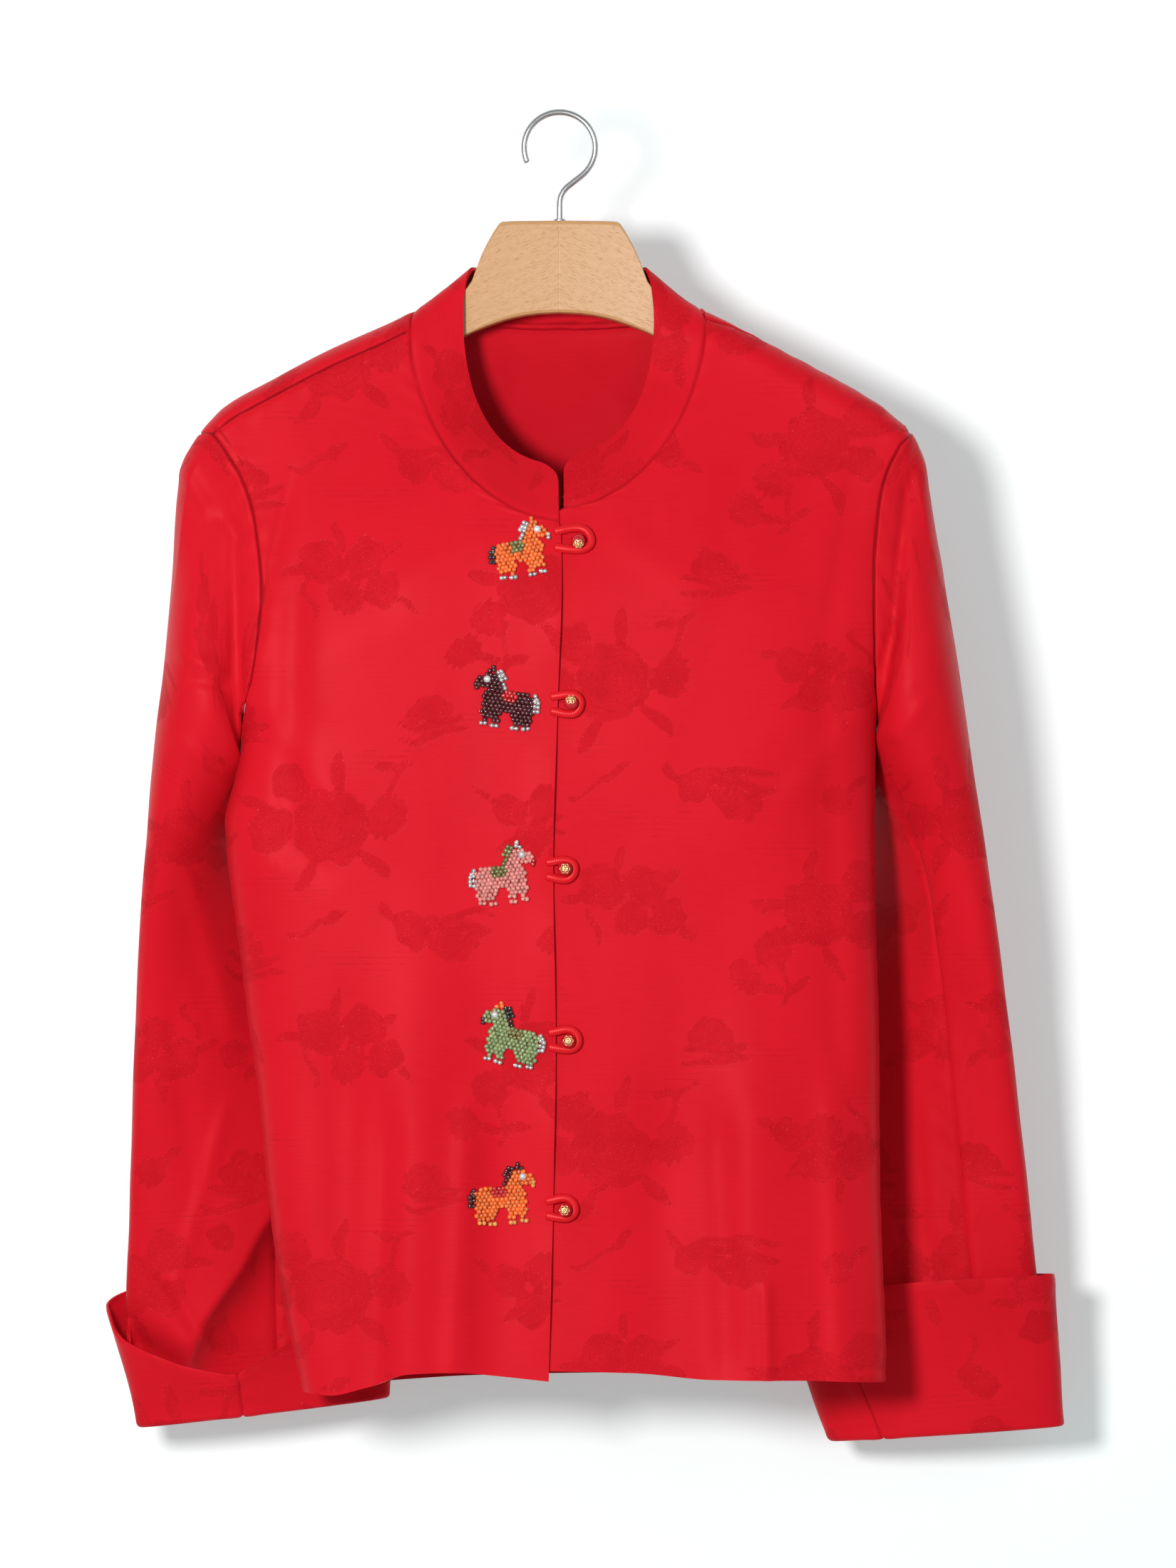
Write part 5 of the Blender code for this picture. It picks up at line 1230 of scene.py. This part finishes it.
def buildCuff(side, name, firstTurn):
    # from inside the sleeve's end, round the fold at the foot and up the outside to the notched edge
    last = len(side["rings"]) - 1
    low, high = ringRow(side, last), ringRow(side, last - 1)
    rise = float(high["z"] - low["z"])
    even = 360.0 * np.arange(cuffs["around"]) / cuffs["around"]
    notch = (cuffs["notch"][name] - math.degrees(firstTurn)) % 360
    even = even[np.abs(even - notch) > cuffs["beside"][-1] + 0.3]
    even = np.sort(np.concatenate([even, notch + np.array(cuffs["beside"])]))
    turn = firstTurn + np.radians(even)
    top = side["cuffTopAt"](np.degrees(turn) % 360)
    profile = [(cuffs["hem"] * (1 - k / cuffs["hemRows"]), 0.0, cuffs["inside"]) for k in range(cuffs["hemRows"])]
    middle, half = (cuffs["outside"] + cuffs["inside"]) / 2, (cuffs["outside"] - cuffs["inside"]) / 2
    for k in range(cuffs["lipRows"] + 1):
        swing = math.pi * k / cuffs["lipRows"]
        profile.append((-cuffs["lip"] * cuffs["lipShare"] * math.sin(swing), 0.0, middle - half * math.cos(swing)))
    count = int(cuffs["tall"] / cuffs["spacing"])
    for k in range(1, count + 1):
        profile.append((0.0, k / count, cuffs["outside"] + cuffs["flare"] * (k / count) ** cuffs["flareTurn"]))
    rows = []
    for height, share, out in profile:
        at = (height + top * share) / rise
        row = {key: low[key] + (high[key] - low[key]) * at for key in low}
        rows.append(ringPoints(side, row, turn, out))
    points = np.array(rows)
    around, down = spans(closedRing(points), 1), spans(points, 0)
    toEdge = down[-1:] - down
    relief = 0.00045 * np.sin(around[:, :-1] * 48 + 3 * down * 20) * smooth(down / 0.02 - 0.6)
    atNotch = int(np.argmin(np.abs(even - notch)))
    seams = seamRelief(toEdge + 0.0010, around[:, :-1], 2.4) * (down > 0.03)
    seams += seamRelief(np.minimum(around[:, :-1], around[:, -1:] - around[:, :-1]), down, 0.4)
    seams += seamRelief(np.abs(around[:, :-1] - around[:, atNotch:atNotch + 1]), down, 1.9, 0.7) * (down > 0.004)
    wide = np.broadcast_to(around.mean(0)[None], around.shape)
    uv = np.stack([wide + 0.3, closedRing(down) + 0.5], -1)
    clothPiece("cuff_" + name, points, uv, cuffs["wall"], side is rightSide, True, relief, seams, cuffs[name])


buildCuff(leftSide, "left", leftTurn)
buildCuff(rightSide, "right", rightTurn)


# Modelling helpers
def startMesh(name):
    made = linked(name, bpy.data.meshes.new(name))
    bpy.ops.object.select_all(action="DESELECT")
    made.select_set(True)
    bpy.context.view_layer.objects.active = made
    bpy.ops.object.mode_set(mode="EDIT")
    return made


def endMesh(made, material, degrees=35):
    bpy.ops.mesh.select_all(action="SELECT")
    bpy.ops.mesh.remove_doubles(threshold=0.00001)
    bpy.ops.mesh.normals_make_consistent(inside=False)
    bpy.ops.object.mode_set(mode="OBJECT")
    made.data.materials.append(material)
    bpy.ops.object.shade_smooth_by_angle(angle=math.radians(degrees))
    return made


def placed(source, name, axis, centre):
    # a copy of a small part with its own mesh, turned so that its +Z lies on the axis
    mesh = source.data.copy()
    mesh.transform(Matrix.Translation(centre) @ Vector(axis).to_track_quat("Z", "Y").to_matrix().to_4x4())
    return linked(name, mesh)


def treeOf(made):
    mesh = made.data
    return BVHTree.FromPolygons([v.co for v in mesh.vertices], [p.vertices for p in mesh.polygons])


def surfaceY(tree, x, z):
    return tree.ray_cast(Vector((x, -1.0, z)), Vector((0.0, 1.0, 0.0)))[0].y


overTree, underTree = treeOf(frontOver), treeOf(frontUnder)

# rows: ball x and z, the way the cap faces, and how far the loop passes above, below and beside the ball
buttons = {
    "ballRadius": 0.0040, "stand": 0.0023, "petals": 6, "petalReach": 0.50, "petalRing": (0.00082, 0.00028),
    "bossRing": (0.00098, 0.00020), "boss": 0.00082, "capLift": 0.00022, "boreAt": 0.985,
    "rows": (
        (0.0106, -0.2414, (0.0, -0.86, -0.51), 0.0074, 0.0047, 0.0070),
        (0.0066, -0.3316, (-0.07, -0.86, 0.51), 0.0047, 0.0062, 0.0052),
        (0.0031, -0.4240, (0.03, -1.0, 0.02), 0.0047, 0.0060, 0.0054),
        (0.0050, -0.5202, (0.0, -1.0, 0.12), 0.0064, 0.0047, 0.0056),
        (0.0030, -0.6144, (-0.05, -1.0, 0.0), 0.0064, 0.0047, 0.0056),
    ),
}


def modelBall():
    # a bored ball, its bore along +Z
    radius = buttons["ballRadius"]
    made = startMesh("ballSource")
    bpy.ops.mesh.primitive_uv_sphere_add(segments=40, ring_count=24, radius=radius)
    bpy.ops.mesh.select_all(action="DESELECT")
    bpy.ops.object.mode_set(mode="OBJECT")
    for polygon in made.data.polygons:
        polygon.select = abs(polygon.center.z) > radius * buttons["boreAt"]
    bpy.ops.object.mode_set(mode="EDIT")
    bpy.ops.mesh.select_mode(type="FACE")
    bpy.ops.mesh.delete(type="FACE")
    return endMesh(made, redBall, 60)


def modelCap():
    # six small rings round a raised boss, bent to the ball, facing +Z
    radius, reach = buttons["ballRadius"] + buttons["capLift"], buttons["petalReach"]
    petal, boss = buttons["petalRing"], buttons["bossRing"]
    made = startMesh("capSource")
    for k in range(buttons["petals"]):
        turn = 2 * math.pi * k / buttons["petals"]
        out = Vector((math.cos(turn) * math.sin(reach), math.sin(turn) * math.sin(reach), math.cos(reach)))
        tilt = out.to_track_quat("Z", "Y").to_euler()
        bpy.ops.mesh.primitive_torus_add(
            location=out * radius, rotation=tilt, major_radius=petal[0], minor_radius=petal[1],
            major_segments=20, minor_segments=8)
    bpy.ops.mesh.primitive_torus_add(
        location=(0, 0, radius + 0.00008), major_radius=boss[0], minor_radius=boss[1],
        major_segments=28, minor_segments=8)
    bpy.ops.mesh.primitive_uv_sphere_add(
        segments=20, ring_count=12, radius=buttons["boss"], location=(0, 0, radius + 0.0001))
    return endMesh(made, gilt, 60)


ballSource, capSource = modelBall(), modelCap()
for number, (x, z, facing, above, below, beside) in enumerate(buttons["rows"], 1):
    facing = Vector(facing).normalized()
    centre = Vector((x, surfaceY(underTree, x, z) - buttons["ballRadius"] - buttons["stand"], z))
    ball = placed(ballSource, f"button_{number}", facing, centre)
    standsFor(ball, f"ball_{number}")
    cap = placed(capSource, f"petals_{number}", facing, centre)
    standsFor(cap, f"cap_{number}")
for source in (ballSource, capSource):
    bpy.data.objects.remove(source)
print("buttons made")

cordForm = {
    "halfWide": 0.0025, "halfThick": 0.0019, "sides": 14, "steps": 56, "tuck": 0.0045, "gap": 0.0003,
    "blunt": 60, "strip": 0.0007, "sunk": 0.0006,
}


def sweep(name, path):
    # a flattened tube with its broad side to the cloth and its ends closed
    halfWide, halfThick, sides = cordForm["halfWide"], cordForm["halfThick"], cordForm["sides"]
    along = np.gradient(path, axis=0)
    along /= np.linalg.norm(along, axis=1, keepdims=True)
    up = np.array([0.0, -1.0, 0.0]) - along * (along @ np.array([0.0, -1.0, 0.0]))[:, None]
    up /= np.linalg.norm(up, axis=1, keepdims=True)
    beside = np.cross(up, along)
    turn = 2 * math.pi * np.arange(sides) / sides
    ends = np.sqrt(np.clip(1 - np.abs(np.linspace(-1, 1, len(path))) ** cordForm["blunt"], 0.02, 1))
    rings = path[:, None] + beside[:, None] * (halfWide * ends[:, None] * np.cos(turn))[..., None]
    rings = rings + up[:, None] * (halfThick * ends[:, None] * np.sin(turn))[..., None]
    n = len(path)
    faces = [[(i * sides + k), i * sides + (k + 1) % sides, (i + 1) * sides + (k + 1) % sides, (i + 1) * sides + k]
             for i in range(n - 1) for k in range(sides)]
    faces += [list(range(sides))[::-1], [(n - 1) * sides + k for k in range(sides)]]
    mesh = bpy.data.meshes.new(name)
    mesh.from_pydata(rings.reshape(-1, 3).tolist(), [], faces)
    reach, strip = reachOf(path), cordForm["strip"]
    layer, uv = mesh.uv_layers.new(name="cut"), []
    for i in range(n - 1):
        for k in range(sides):
            low, high = k * strip, k * strip + strip
            uv += [(reach[i], low), (reach[i], high), (reach[i + 1], high), (reach[i + 1], low)]
    uv += [(0.0, 0.0)] * (2 * sides)
    layer.data.foreach_set("uv", np.array(uv, np.float32).ravel())
    mesh.materials.append(cordSatin)
    mesh.shade_smooth()
    return linked(name, mesh)


def resampled(path, steps):
    reach = reachOf(path)
    return spread(path, reach, np.linspace(0, reach[-1], steps))


for number, (ballX, ballZ, facing, above, below, beside) in enumerate(buttons["rows"], 1):
    edge = float(placketX(ballZ))
    flatPath = [(edge - cordForm["tuck"], ballZ + above * 0.70), (edge, ballZ + above * 0.84),
                (edge + 0.5 * (ballX - edge), ballZ + above * 0.97)]
    for k in range(13):
        turn = math.pi / 2 - math.pi * k / 12
        tall = above if turn > 0 else below
        flatPath.append((ballX + beside * math.cos(turn), ballZ + tall * math.sin(turn)))
    flatPath += [(edge + 0.5 * (ballX - edge), ballZ - below * 0.97), (edge, ballZ - below * 0.84),
                 (edge - cordForm["tuck"], ballZ - below * 0.70)]
    lie = cordForm["halfThick"] + cordForm["gap"]
    path = np.array([(x, surfaceY(underTree, x, z) - lie, z) for x, z in flatPath])
    tucked = np.minimum(1, np.maximum(0, (edge + 0.001 - path[:, 0]) / 0.004))
    path[:, 1] += tucked * cordForm["sunk"]
    standsFor(sweep(f"cord_{number}", resampled(path, cordForm["steps"])), f"loop_{number}")
print("loops made")

# A beaded pony, charted as one unit high and facing right: round forms packed with beads, and lines of strung
# beads with their tones
ponies = {
    "bead": 0.00272, "pitch": 0.00240, "rowShare": 0.86, "rowCount": 9, "columnCount": 10,
    "eye": (0.300, 0.265), "eyeSize": 0.0042,
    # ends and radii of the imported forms, and the round patch on the back
    "forms": (
        (-0.270, -0.005, 0.155, 0.175, -0.020, 0.170), (0.145, 0.070, 0.140, 0.250, 0.230, 0.110),
        (0.250, 0.275, 0.100, 0.395, 0.195, 0.075), (-0.330, -0.120, 0.085, -0.345, -0.270, 0.070),
        (-0.210, -0.140, 0.085, -0.195, -0.290, 0.070), (0.110, -0.140, 0.085, 0.105, -0.290, 0.070),
        (0.215, -0.120, 0.085, 0.255, -0.270, 0.070),
    ),
    "saddle": (-0.060, 0.050, 0.100),
    "strokes": (
        ("muzzle", (0.455, 0.165), (0.440, 0.115)),
        ("ear", (0.225, 0.400), (0.235, 0.450)), ("ear", (0.285, 0.385),),
        ("mane", (0.155, 0.380), (0.085, 0.270), (0.020, 0.165)), ("mane", (0.110, 0.400), (0.035, 0.300)),
        ("hoof", (0.245, -0.385), (0.305, -0.390)), ("hoof", (0.075, -0.405), (0.140, -0.405)),
        ("hoof", (-0.225, -0.405), (-0.160, -0.405)), ("hoof", (-0.385, -0.385), (-0.320, -0.390)),
        ("tail", (-0.430, 0.100), (-0.495, 0.020), (-0.500, -0.110)), ("tail", (-0.440, 0.030), (-0.445, -0.120)),
    ),
    # x, z, height, turn, facing, and the tones: body, mane, tail, muzzle, hoof, patch, ear
    "rows": (
        (-0.0212, -0.2461, 0.036, 10, 1, "orange", "silver", "dark", "silver", "silver", "olive", "orange"),
        (-0.0302, -0.3297, 0.038, -8, -1, "garnet", "silver", "silver", "garnet", "silver", "red", "garnet"),
        (-0.0311, -0.4274, 0.038, 6, 1, "pink", "olive", "silver", "red", "pink", "olive", "silver"),
        (-0.0270, -0.5176, 0.038, -12, -1, "green", "dark", "silver", "dark", "silver", "olive", "orange"),
        (-0.0311, -0.6065, 0.038, 4, 1, "orange", "garnet", "garnet", "gold", "gold", "red", "garnet"),
    ),
}
# colour, share of metal
beadTones = {
    "orange": ((0.95, 0.17, 0.022), 0.0), "olive": ((0.24, 0.23, 0.075), 0.25),
    "dark": ((0.040, 0.030, 0.036), 0.35), "silver": ((0.78, 0.78, 0.78), 0.8),
    "garnet": ((0.085, 0.008, 0.012), 0.15), "red": ((0.60, 0.012, 0.016), 0.0),
    "pink": ((0.80, 0.27, 0.24), 0.0), "green": ((0.30, 0.38, 0.16), 0.10),
    "gold": ((0.90, 0.36, 0.08), 0.10), "crystal": ((0.88, 0.88, 0.90), 0.5),
}


def strung(stroke, size):
    # places and ways of the beads along a stroke
    points = np.array(stroke) * size
    if len(points) == 1:
        return [(points[0], (1.0, 0.0))]
    reach = reachOf(points)
    count = max(2, int(round(reach[-1] / ponies["pitch"])) + 1)
    found = []
    for at in np.linspace(0, reach[-1], count):
        i = min(np.searchsorted(reach, at, side="right") - 1, len(points) - 2)
        step = points[i + 1] - points[i]
        found.append((points[i] + step * (at - reach[i]) / (reach[i + 1] - reach[i]), step / np.linalg.norm(step)))
    return found


def packed(height):
    # beads in offset rows wherever they fall inside a form
    pitch, found = ponies["pitch"] / height, []
    for row in range(-ponies["rowCount"], ponies["rowCount"] + 1):
        for column in range(-ponies["columnCount"], ponies["columnCount"] + 1):
            x, z = (column + 0.5 * (row % 2)) * pitch, row * ponies["rowShare"] * pitch
            for x0, z0, r0, x1, z1, r1 in ponies["forms"]:
                t = ((x - x0) * (x1 - x0) + (z - z0) * (z1 - z0)) / ((x1 - x0) ** 2 + (z1 - z0) ** 2)
                t = min(max(t, 0.0), 1.0)
                if math.hypot(x - x0 - (x1 - x0) * t, z - z0 - (z1 - z0) * t) < r0 + (r1 - r0) * t:
                    midX, midZ, reach = ponies["saddle"]
                    tone = "patch" if math.hypot(x - midX, z - midZ) < reach else "body"
                    found.append((np.array((x, z)) * height, (1.0, 0.0), tone))
                    break
    return found


def modelBead():
    # a seed bead, its bore along Z, one unit across
    made = startMesh("beadSource")
    bpy.ops.mesh.primitive_torus_add(major_radius=0.31, minor_radius=0.19, major_segments=12, minor_segments=7)
    bpy.ops.transform.resize(value=(1.0, 1.0, 2.20))
    return endMesh(made, seedBeads, 180)


def modelCrystal():
    made = startMesh("crystalSource")
    bpy.ops.mesh.primitive_uv_sphere_add(segments=12, ring_count=6, radius=0.5)
    bpy.ops.transform.resize(value=(1.0, 1.0, 0.72))
    return endMesh(made, seedBeads, 10)


def buildPony(number, x, z, height, turn, facing, *tones):
    roll = random.Random(40 + number)
    names = dict(zip(("body", "mane", "tail", "muzzle", "hoof", "patch", "ear"), tones))
    c, s = math.cos(math.radians(turn)), math.sin(math.radians(turn))
    vertices, faces, tints, gleams, total = [], [], [], [], 0
    laid = [(place, way, names[tone], beadSource) for place, way, tone in packed(height)]
    laid += [(place, way, names[tone], beadSource) for tone, *stroke in ponies["strokes"]
             for place, way in strung(stroke, height)]
    laid.append((np.array(ponies["eye"]) * height, (1.0, 0.0), "crystal", crystalSource))
    for place, way, tone, source in laid:
        u, v = place[0] * facing, place[1]
        px, pz = x + u * c - v * s, z + u * s + v * c
        isEye = source is crystalSource
        size = ponies["eyeSize"] if isEye else ponies["bead"] * roll.uniform(0.93, 1.06)
        y = surfaceY(overTree, px, pz) - size * (0.62 if isEye else 0.44)
        if isEye:
            turned = Vector((0, -1, 0)).to_track_quat("Z", "Y").to_matrix().to_4x4()
        else:
            run = way[0] * facing
            way = Vector((run * c - way[1] * s, roll.uniform(-0.5, 0.5), run * s + way[1] * c))
            way.z += roll.uniform(-0.5, 0.5)
            turned = way.to_track_quat("Z", "Y").to_matrix().to_4x4()
        px, pz = px + roll.uniform(-0.00022, 0.00022), pz + roll.uniform(-0.00022, 0.00022)
        matrix = np.array(Matrix.Translation((px, y, pz)) @ turned @ Matrix.Scale(size, 4))
        local = np.array([v.co for v in source.data.vertices])
        vertices.append(local @ matrix[:3, :3].T + matrix[:3, 3])
        faces += [[total + k for k in polygon.vertices] for polygon in source.data.polygons]
        total += len(local)
        colour, metal = beadTones[tone]
        shade = roll.uniform(0.80, 1.15)
        tints += [tuple(channel * shade for channel in colour) + (1.0,)] * len(local)
        gleams += [min(1.0, metal * roll.uniform(0.8, 1.1))] * len(local)
    mesh = bpy.data.meshes.new(f"pony_{number}")
    mesh.from_pydata(np.concatenate(vertices).tolist(), [], faces)
    tints, gleams = np.array(tints, np.float32), np.array(gleams, np.float32)
    mesh.attributes.new("tint", "FLOAT_COLOR", "POINT").data.foreach_set("color", tints.ravel())
    mesh.attributes.new("gleam", "FLOAT", "POINT").data.foreach_set("value", gleams)
    mesh.materials.append(seedBeads)
    mesh.shade_smooth()
    mesh.set_sharp_from_angle(angle=math.radians(70))
    standsFor(linked(f"pony_{number}", mesh), f"motif_{number}")
    return len(laid)


beadSource, crystalSource = modelBead(), modelCrystal()
beadCount = sum(buildPony(number, *row) for number, row in enumerate(ponies["rows"], 1))
for source in (beadSource, crystalSource):
    bpy.data.objects.remove(source)
print("ponies made of", beadCount, "beads")

# The hanger: x, top and foot of its outline, and its ends
wood = {
    "tip": 0.189, "roundFrom": 0.172, "halfThickness": 0.0086, "tipThickness": 0.0096, "gap": 0.0048,
    "bevel": 0.0020, "pastTip": 0.0006, "tipRise": 0.2, "ridgeFrom": (0.092, 0.12, 0.155, 0.19),
    "top": (
        (0.0, -0.0597), (0.026, -0.0600), (0.0320, -0.0604), (0.0338, -0.0613), (0.0350, -0.0628),
        (0.0435, -0.0780), (0.0462, -0.0850), (0.0488, -0.0925), (0.0540, -0.0995), (0.0625, -0.1065),
        (0.072, -0.1130),
    ),
    "foot": (
        (0.0, -0.1117), (0.012, -0.1123), (0.025, -0.1144), (0.039, -0.1187), (0.053, -0.1247),
        (0.083, -0.1420), (0.13, -0.1680), (0.19, -0.2010),
    ),
    "stations": (
        0.0, 0.006, 0.012, 0.019, 0.026, 0.0295, 0.0315, 0.0325, 0.0332, 0.0338, 0.0343, 0.0350, 0.0362,
        0.0380, 0.0410, 0.0440, 0.0468, 0.0495, 0.052, 0.0545, 0.058, 0.0625, 0.067, 0.072, 0.078, 0.088,
        0.100, 0.115, 0.130, 0.145, 0.158, 0.168, 0.174, 0.179, 0.183, 0.186, 0.188, 0.189,
    ),
}


def buildHanger():
    made = startMesh("beechHanger")
    foot = curveThrough(wood["foot"])
    for side in (leftSide, rightSide):
        ridge = [(s, float(side["ridgeAt"](s)) - wood["gap"]) for s in wood["ridgeFrom"]]
        top = curveThrough(wood["top"] + tuple(ridge))
        before = None
        for out in wood["stations"]:
            high, low = float(top(out)), float(foot(out))
            thicker = wood["tipThickness"] - wood["halfThickness"]
            half = wood["halfThickness"] + thicker * float(smooth(out / wood["tip"]))
            reach = max(out - wood["roundFrom"], 0.0) / (wood["tip"] - wood["roundFrom"] + wood["pastTip"])
            end = math.sqrt(max(1 - reach ** 2, 0.0))
            tall = (high - low) / 2 * end
            middle = (high + low) / 2 + (high - low) / 2 * (1 - end) * wood["tipRise"]
            centre = Vector((side["sign"] * out, float(ridgeY(out)), middle))
            size = Vector((1.0, half * end, tall))
            if before is None:
                bpy.ops.mesh.select_all(action="DESELECT")
                bpy.ops.mesh.primitive_plane_add(size=2.0, location=centre, rotation=(0, math.pi / 2, 0))
                bpy.ops.transform.resize(value=size, center_override=centre)
                bpy.ops.mesh.bevel(affect="VERTICES", offset=wood["bevel"], segments=2)
            else:
                step = centre - before[0]
                bpy.ops.mesh.extrude_region_move(TRANSFORM_OT_translate={"value": step})
                ratio = (1.0, size.y / before[1].y, size.z / before[1].z)
                bpy.ops.transform.resize(value=ratio, center_override=centre)
            before = centre, size
        bpy.ops.mesh.select_all(action="DESELECT")
    endMesh(made, beech, 12)
    standsFor(made, "hanger")


# The hook: a straight shank, a bend, a short straight and the crown's arc
wire = {
    "radius": 0.0018, "crown": 0.0200, "start": -0.0600, "bendFrom": -0.0500, "bend": 0.0131, "straight": 0.00923,
    "lean": 52.0, "end": 205.0, "tipBevel": 0.0009, "cup": 0.0036, "cupDepth": 0.0016, "cupAt": -0.0592,
    "cupBevel": 0.0004,
}


def buildHook():
    made = startMesh("wireHook")
    lean = math.radians(wire["lean"])
    bpy.ops.mesh.primitive_circle_add(
        vertices=20, radius=wire["radius"], fill_type="NGON", location=(0, 0, wire["start"]))
    bpy.ops.mesh.extrude_region_move(TRANSFORM_OT_translate={"value": (0, 0, wire["bendFrom"] - wire["start"])})
    bpy.ops.mesh.spin(steps=10, angle=lean, center=(wire["bend"], 0, wire["bendFrom"]), axis=(0, -1, 0))
    way = Vector((math.sin(lean), 0, math.cos(lean))) * wire["straight"]
    bpy.ops.mesh.extrude_region_move(TRANSFORM_OT_translate={"value": way})
    crown = (0, 0, wire["radius"] - wire["crown"])
    bpy.ops.mesh.spin(steps=60, angle=math.radians(wire["end"] + wire["lean"]), center=crown, axis=(0, 1, 0))
    bpy.ops.mesh.bevel(offset=wire["tipBevel"], segments=3)
    bpy.ops.mesh.select_all(action="DESELECT")
    bpy.ops.mesh.primitive_cylinder_add(
        vertices=32, radius=wire["cup"], depth=wire["cupDepth"], location=(0, 0, wire["cupAt"]))
    bpy.ops.mesh.bevel(offset=wire["cupBevel"], segments=3)
    endMesh(made, brightWire, 50)
    standsFor(made, "hook")


buildHanger()
buildHook()
print("hanger and hook made")

# The light, the sweep and the camera
studio = {
    "wall": 0.112, "middle": (0.016, -0.3768), "tall": 0.88, "distance": 5.0,
    "paper": (0.74, 0.74, 0.74), "glow": (0.22, 0.295, 0.295),
    "keyAt": (-0.75, -2.6, -0.12), "keySize": 0.45, "keyPower": 60.0, "fillAt": (1.2, -2.6, 0.3), "fillSize": 1.6,
    "fillPower": 7.0, "world": 0.36, "wallSize": 8.0, "aim": (0.0, 0.0, -0.38), "sensor": 36.0, "standOff": 0.02,
}


def sweepRecipe():
    r = Recipe("paper", studio["paper"], 0.9, Emission_Color=(*studio["glow"], 1), Emission_Strength=1.0)
    lit = r.shader.outputs[0]
    geometry = r.node("NewGeometry", {}, {}, 6)
    clear = r.tree.nodes.new("ShaderNodeBsdfTransparent")
    mixed = r.tree.nodes.new("ShaderNodeMixShader")
    r.tree.links.new(geometry.socket, mixed.inputs[0])
    r.tree.links.new(lit, mixed.inputs[1])
    r.tree.links.new(clear.outputs[0], mixed.inputs[2])
    r.tree.links.new(mixed.outputs[0], r.tree.nodes["Material Output"].inputs[0])
    return r.material


def buildStudio():
    paper = sweepRecipe()
    wall = startMesh("paperWall")
    bpy.ops.mesh.primitive_plane_add(
        size=studio["wallSize"], location=(0, studio["wall"], 0.0), rotation=(math.pi / 2, 0, 0))
    bpy.ops.object.mode_set(mode="OBJECT")
    wall.data.materials.append(paper)
    for key in ("key", "fill"):
        light = bpy.data.lights.new(key, "AREA")
        light.shape, light.size, light.energy = "DISK", studio[key + "Size"], studio[key + "Power"]
        holder = linked(key, light)
        holder.location = studio[key + "At"]
        aim = Vector(studio["aim"]) - holder.location
        holder.rotation_euler = aim.to_track_quat("-Z", "Y").to_euler()
    world = bpy.data.worlds.new("softWhite")
    world.use_nodes = True
    world.node_tree.nodes["Background"].inputs[0].default_value = (1, 1, 1, 1)
    world.node_tree.nodes["Background"].inputs[1].default_value = studio["world"]
    scene = bpy.context.scene
    scene.world = world
    scene.view_settings.view_transform = "Standard"
    camera = bpy.data.cameras.new("camera")
    camera.sensor_width, camera.sensor_fit = studio["sensor"], "AUTO"
    camera.lens = studio["sensor"] * studio["distance"] / studio["tall"]
    camera.clip_start, camera.clip_end = 0.1, 50.0
    holder = linked("camera", camera)
    holder.location = (studio["middle"][0], -studio["distance"] - studio["standOff"], studio["middle"][1])
    holder.rotation_euler = (math.pi / 2, 0, 0)
    scene.camera = holder


buildStudio()
print("studio ready")
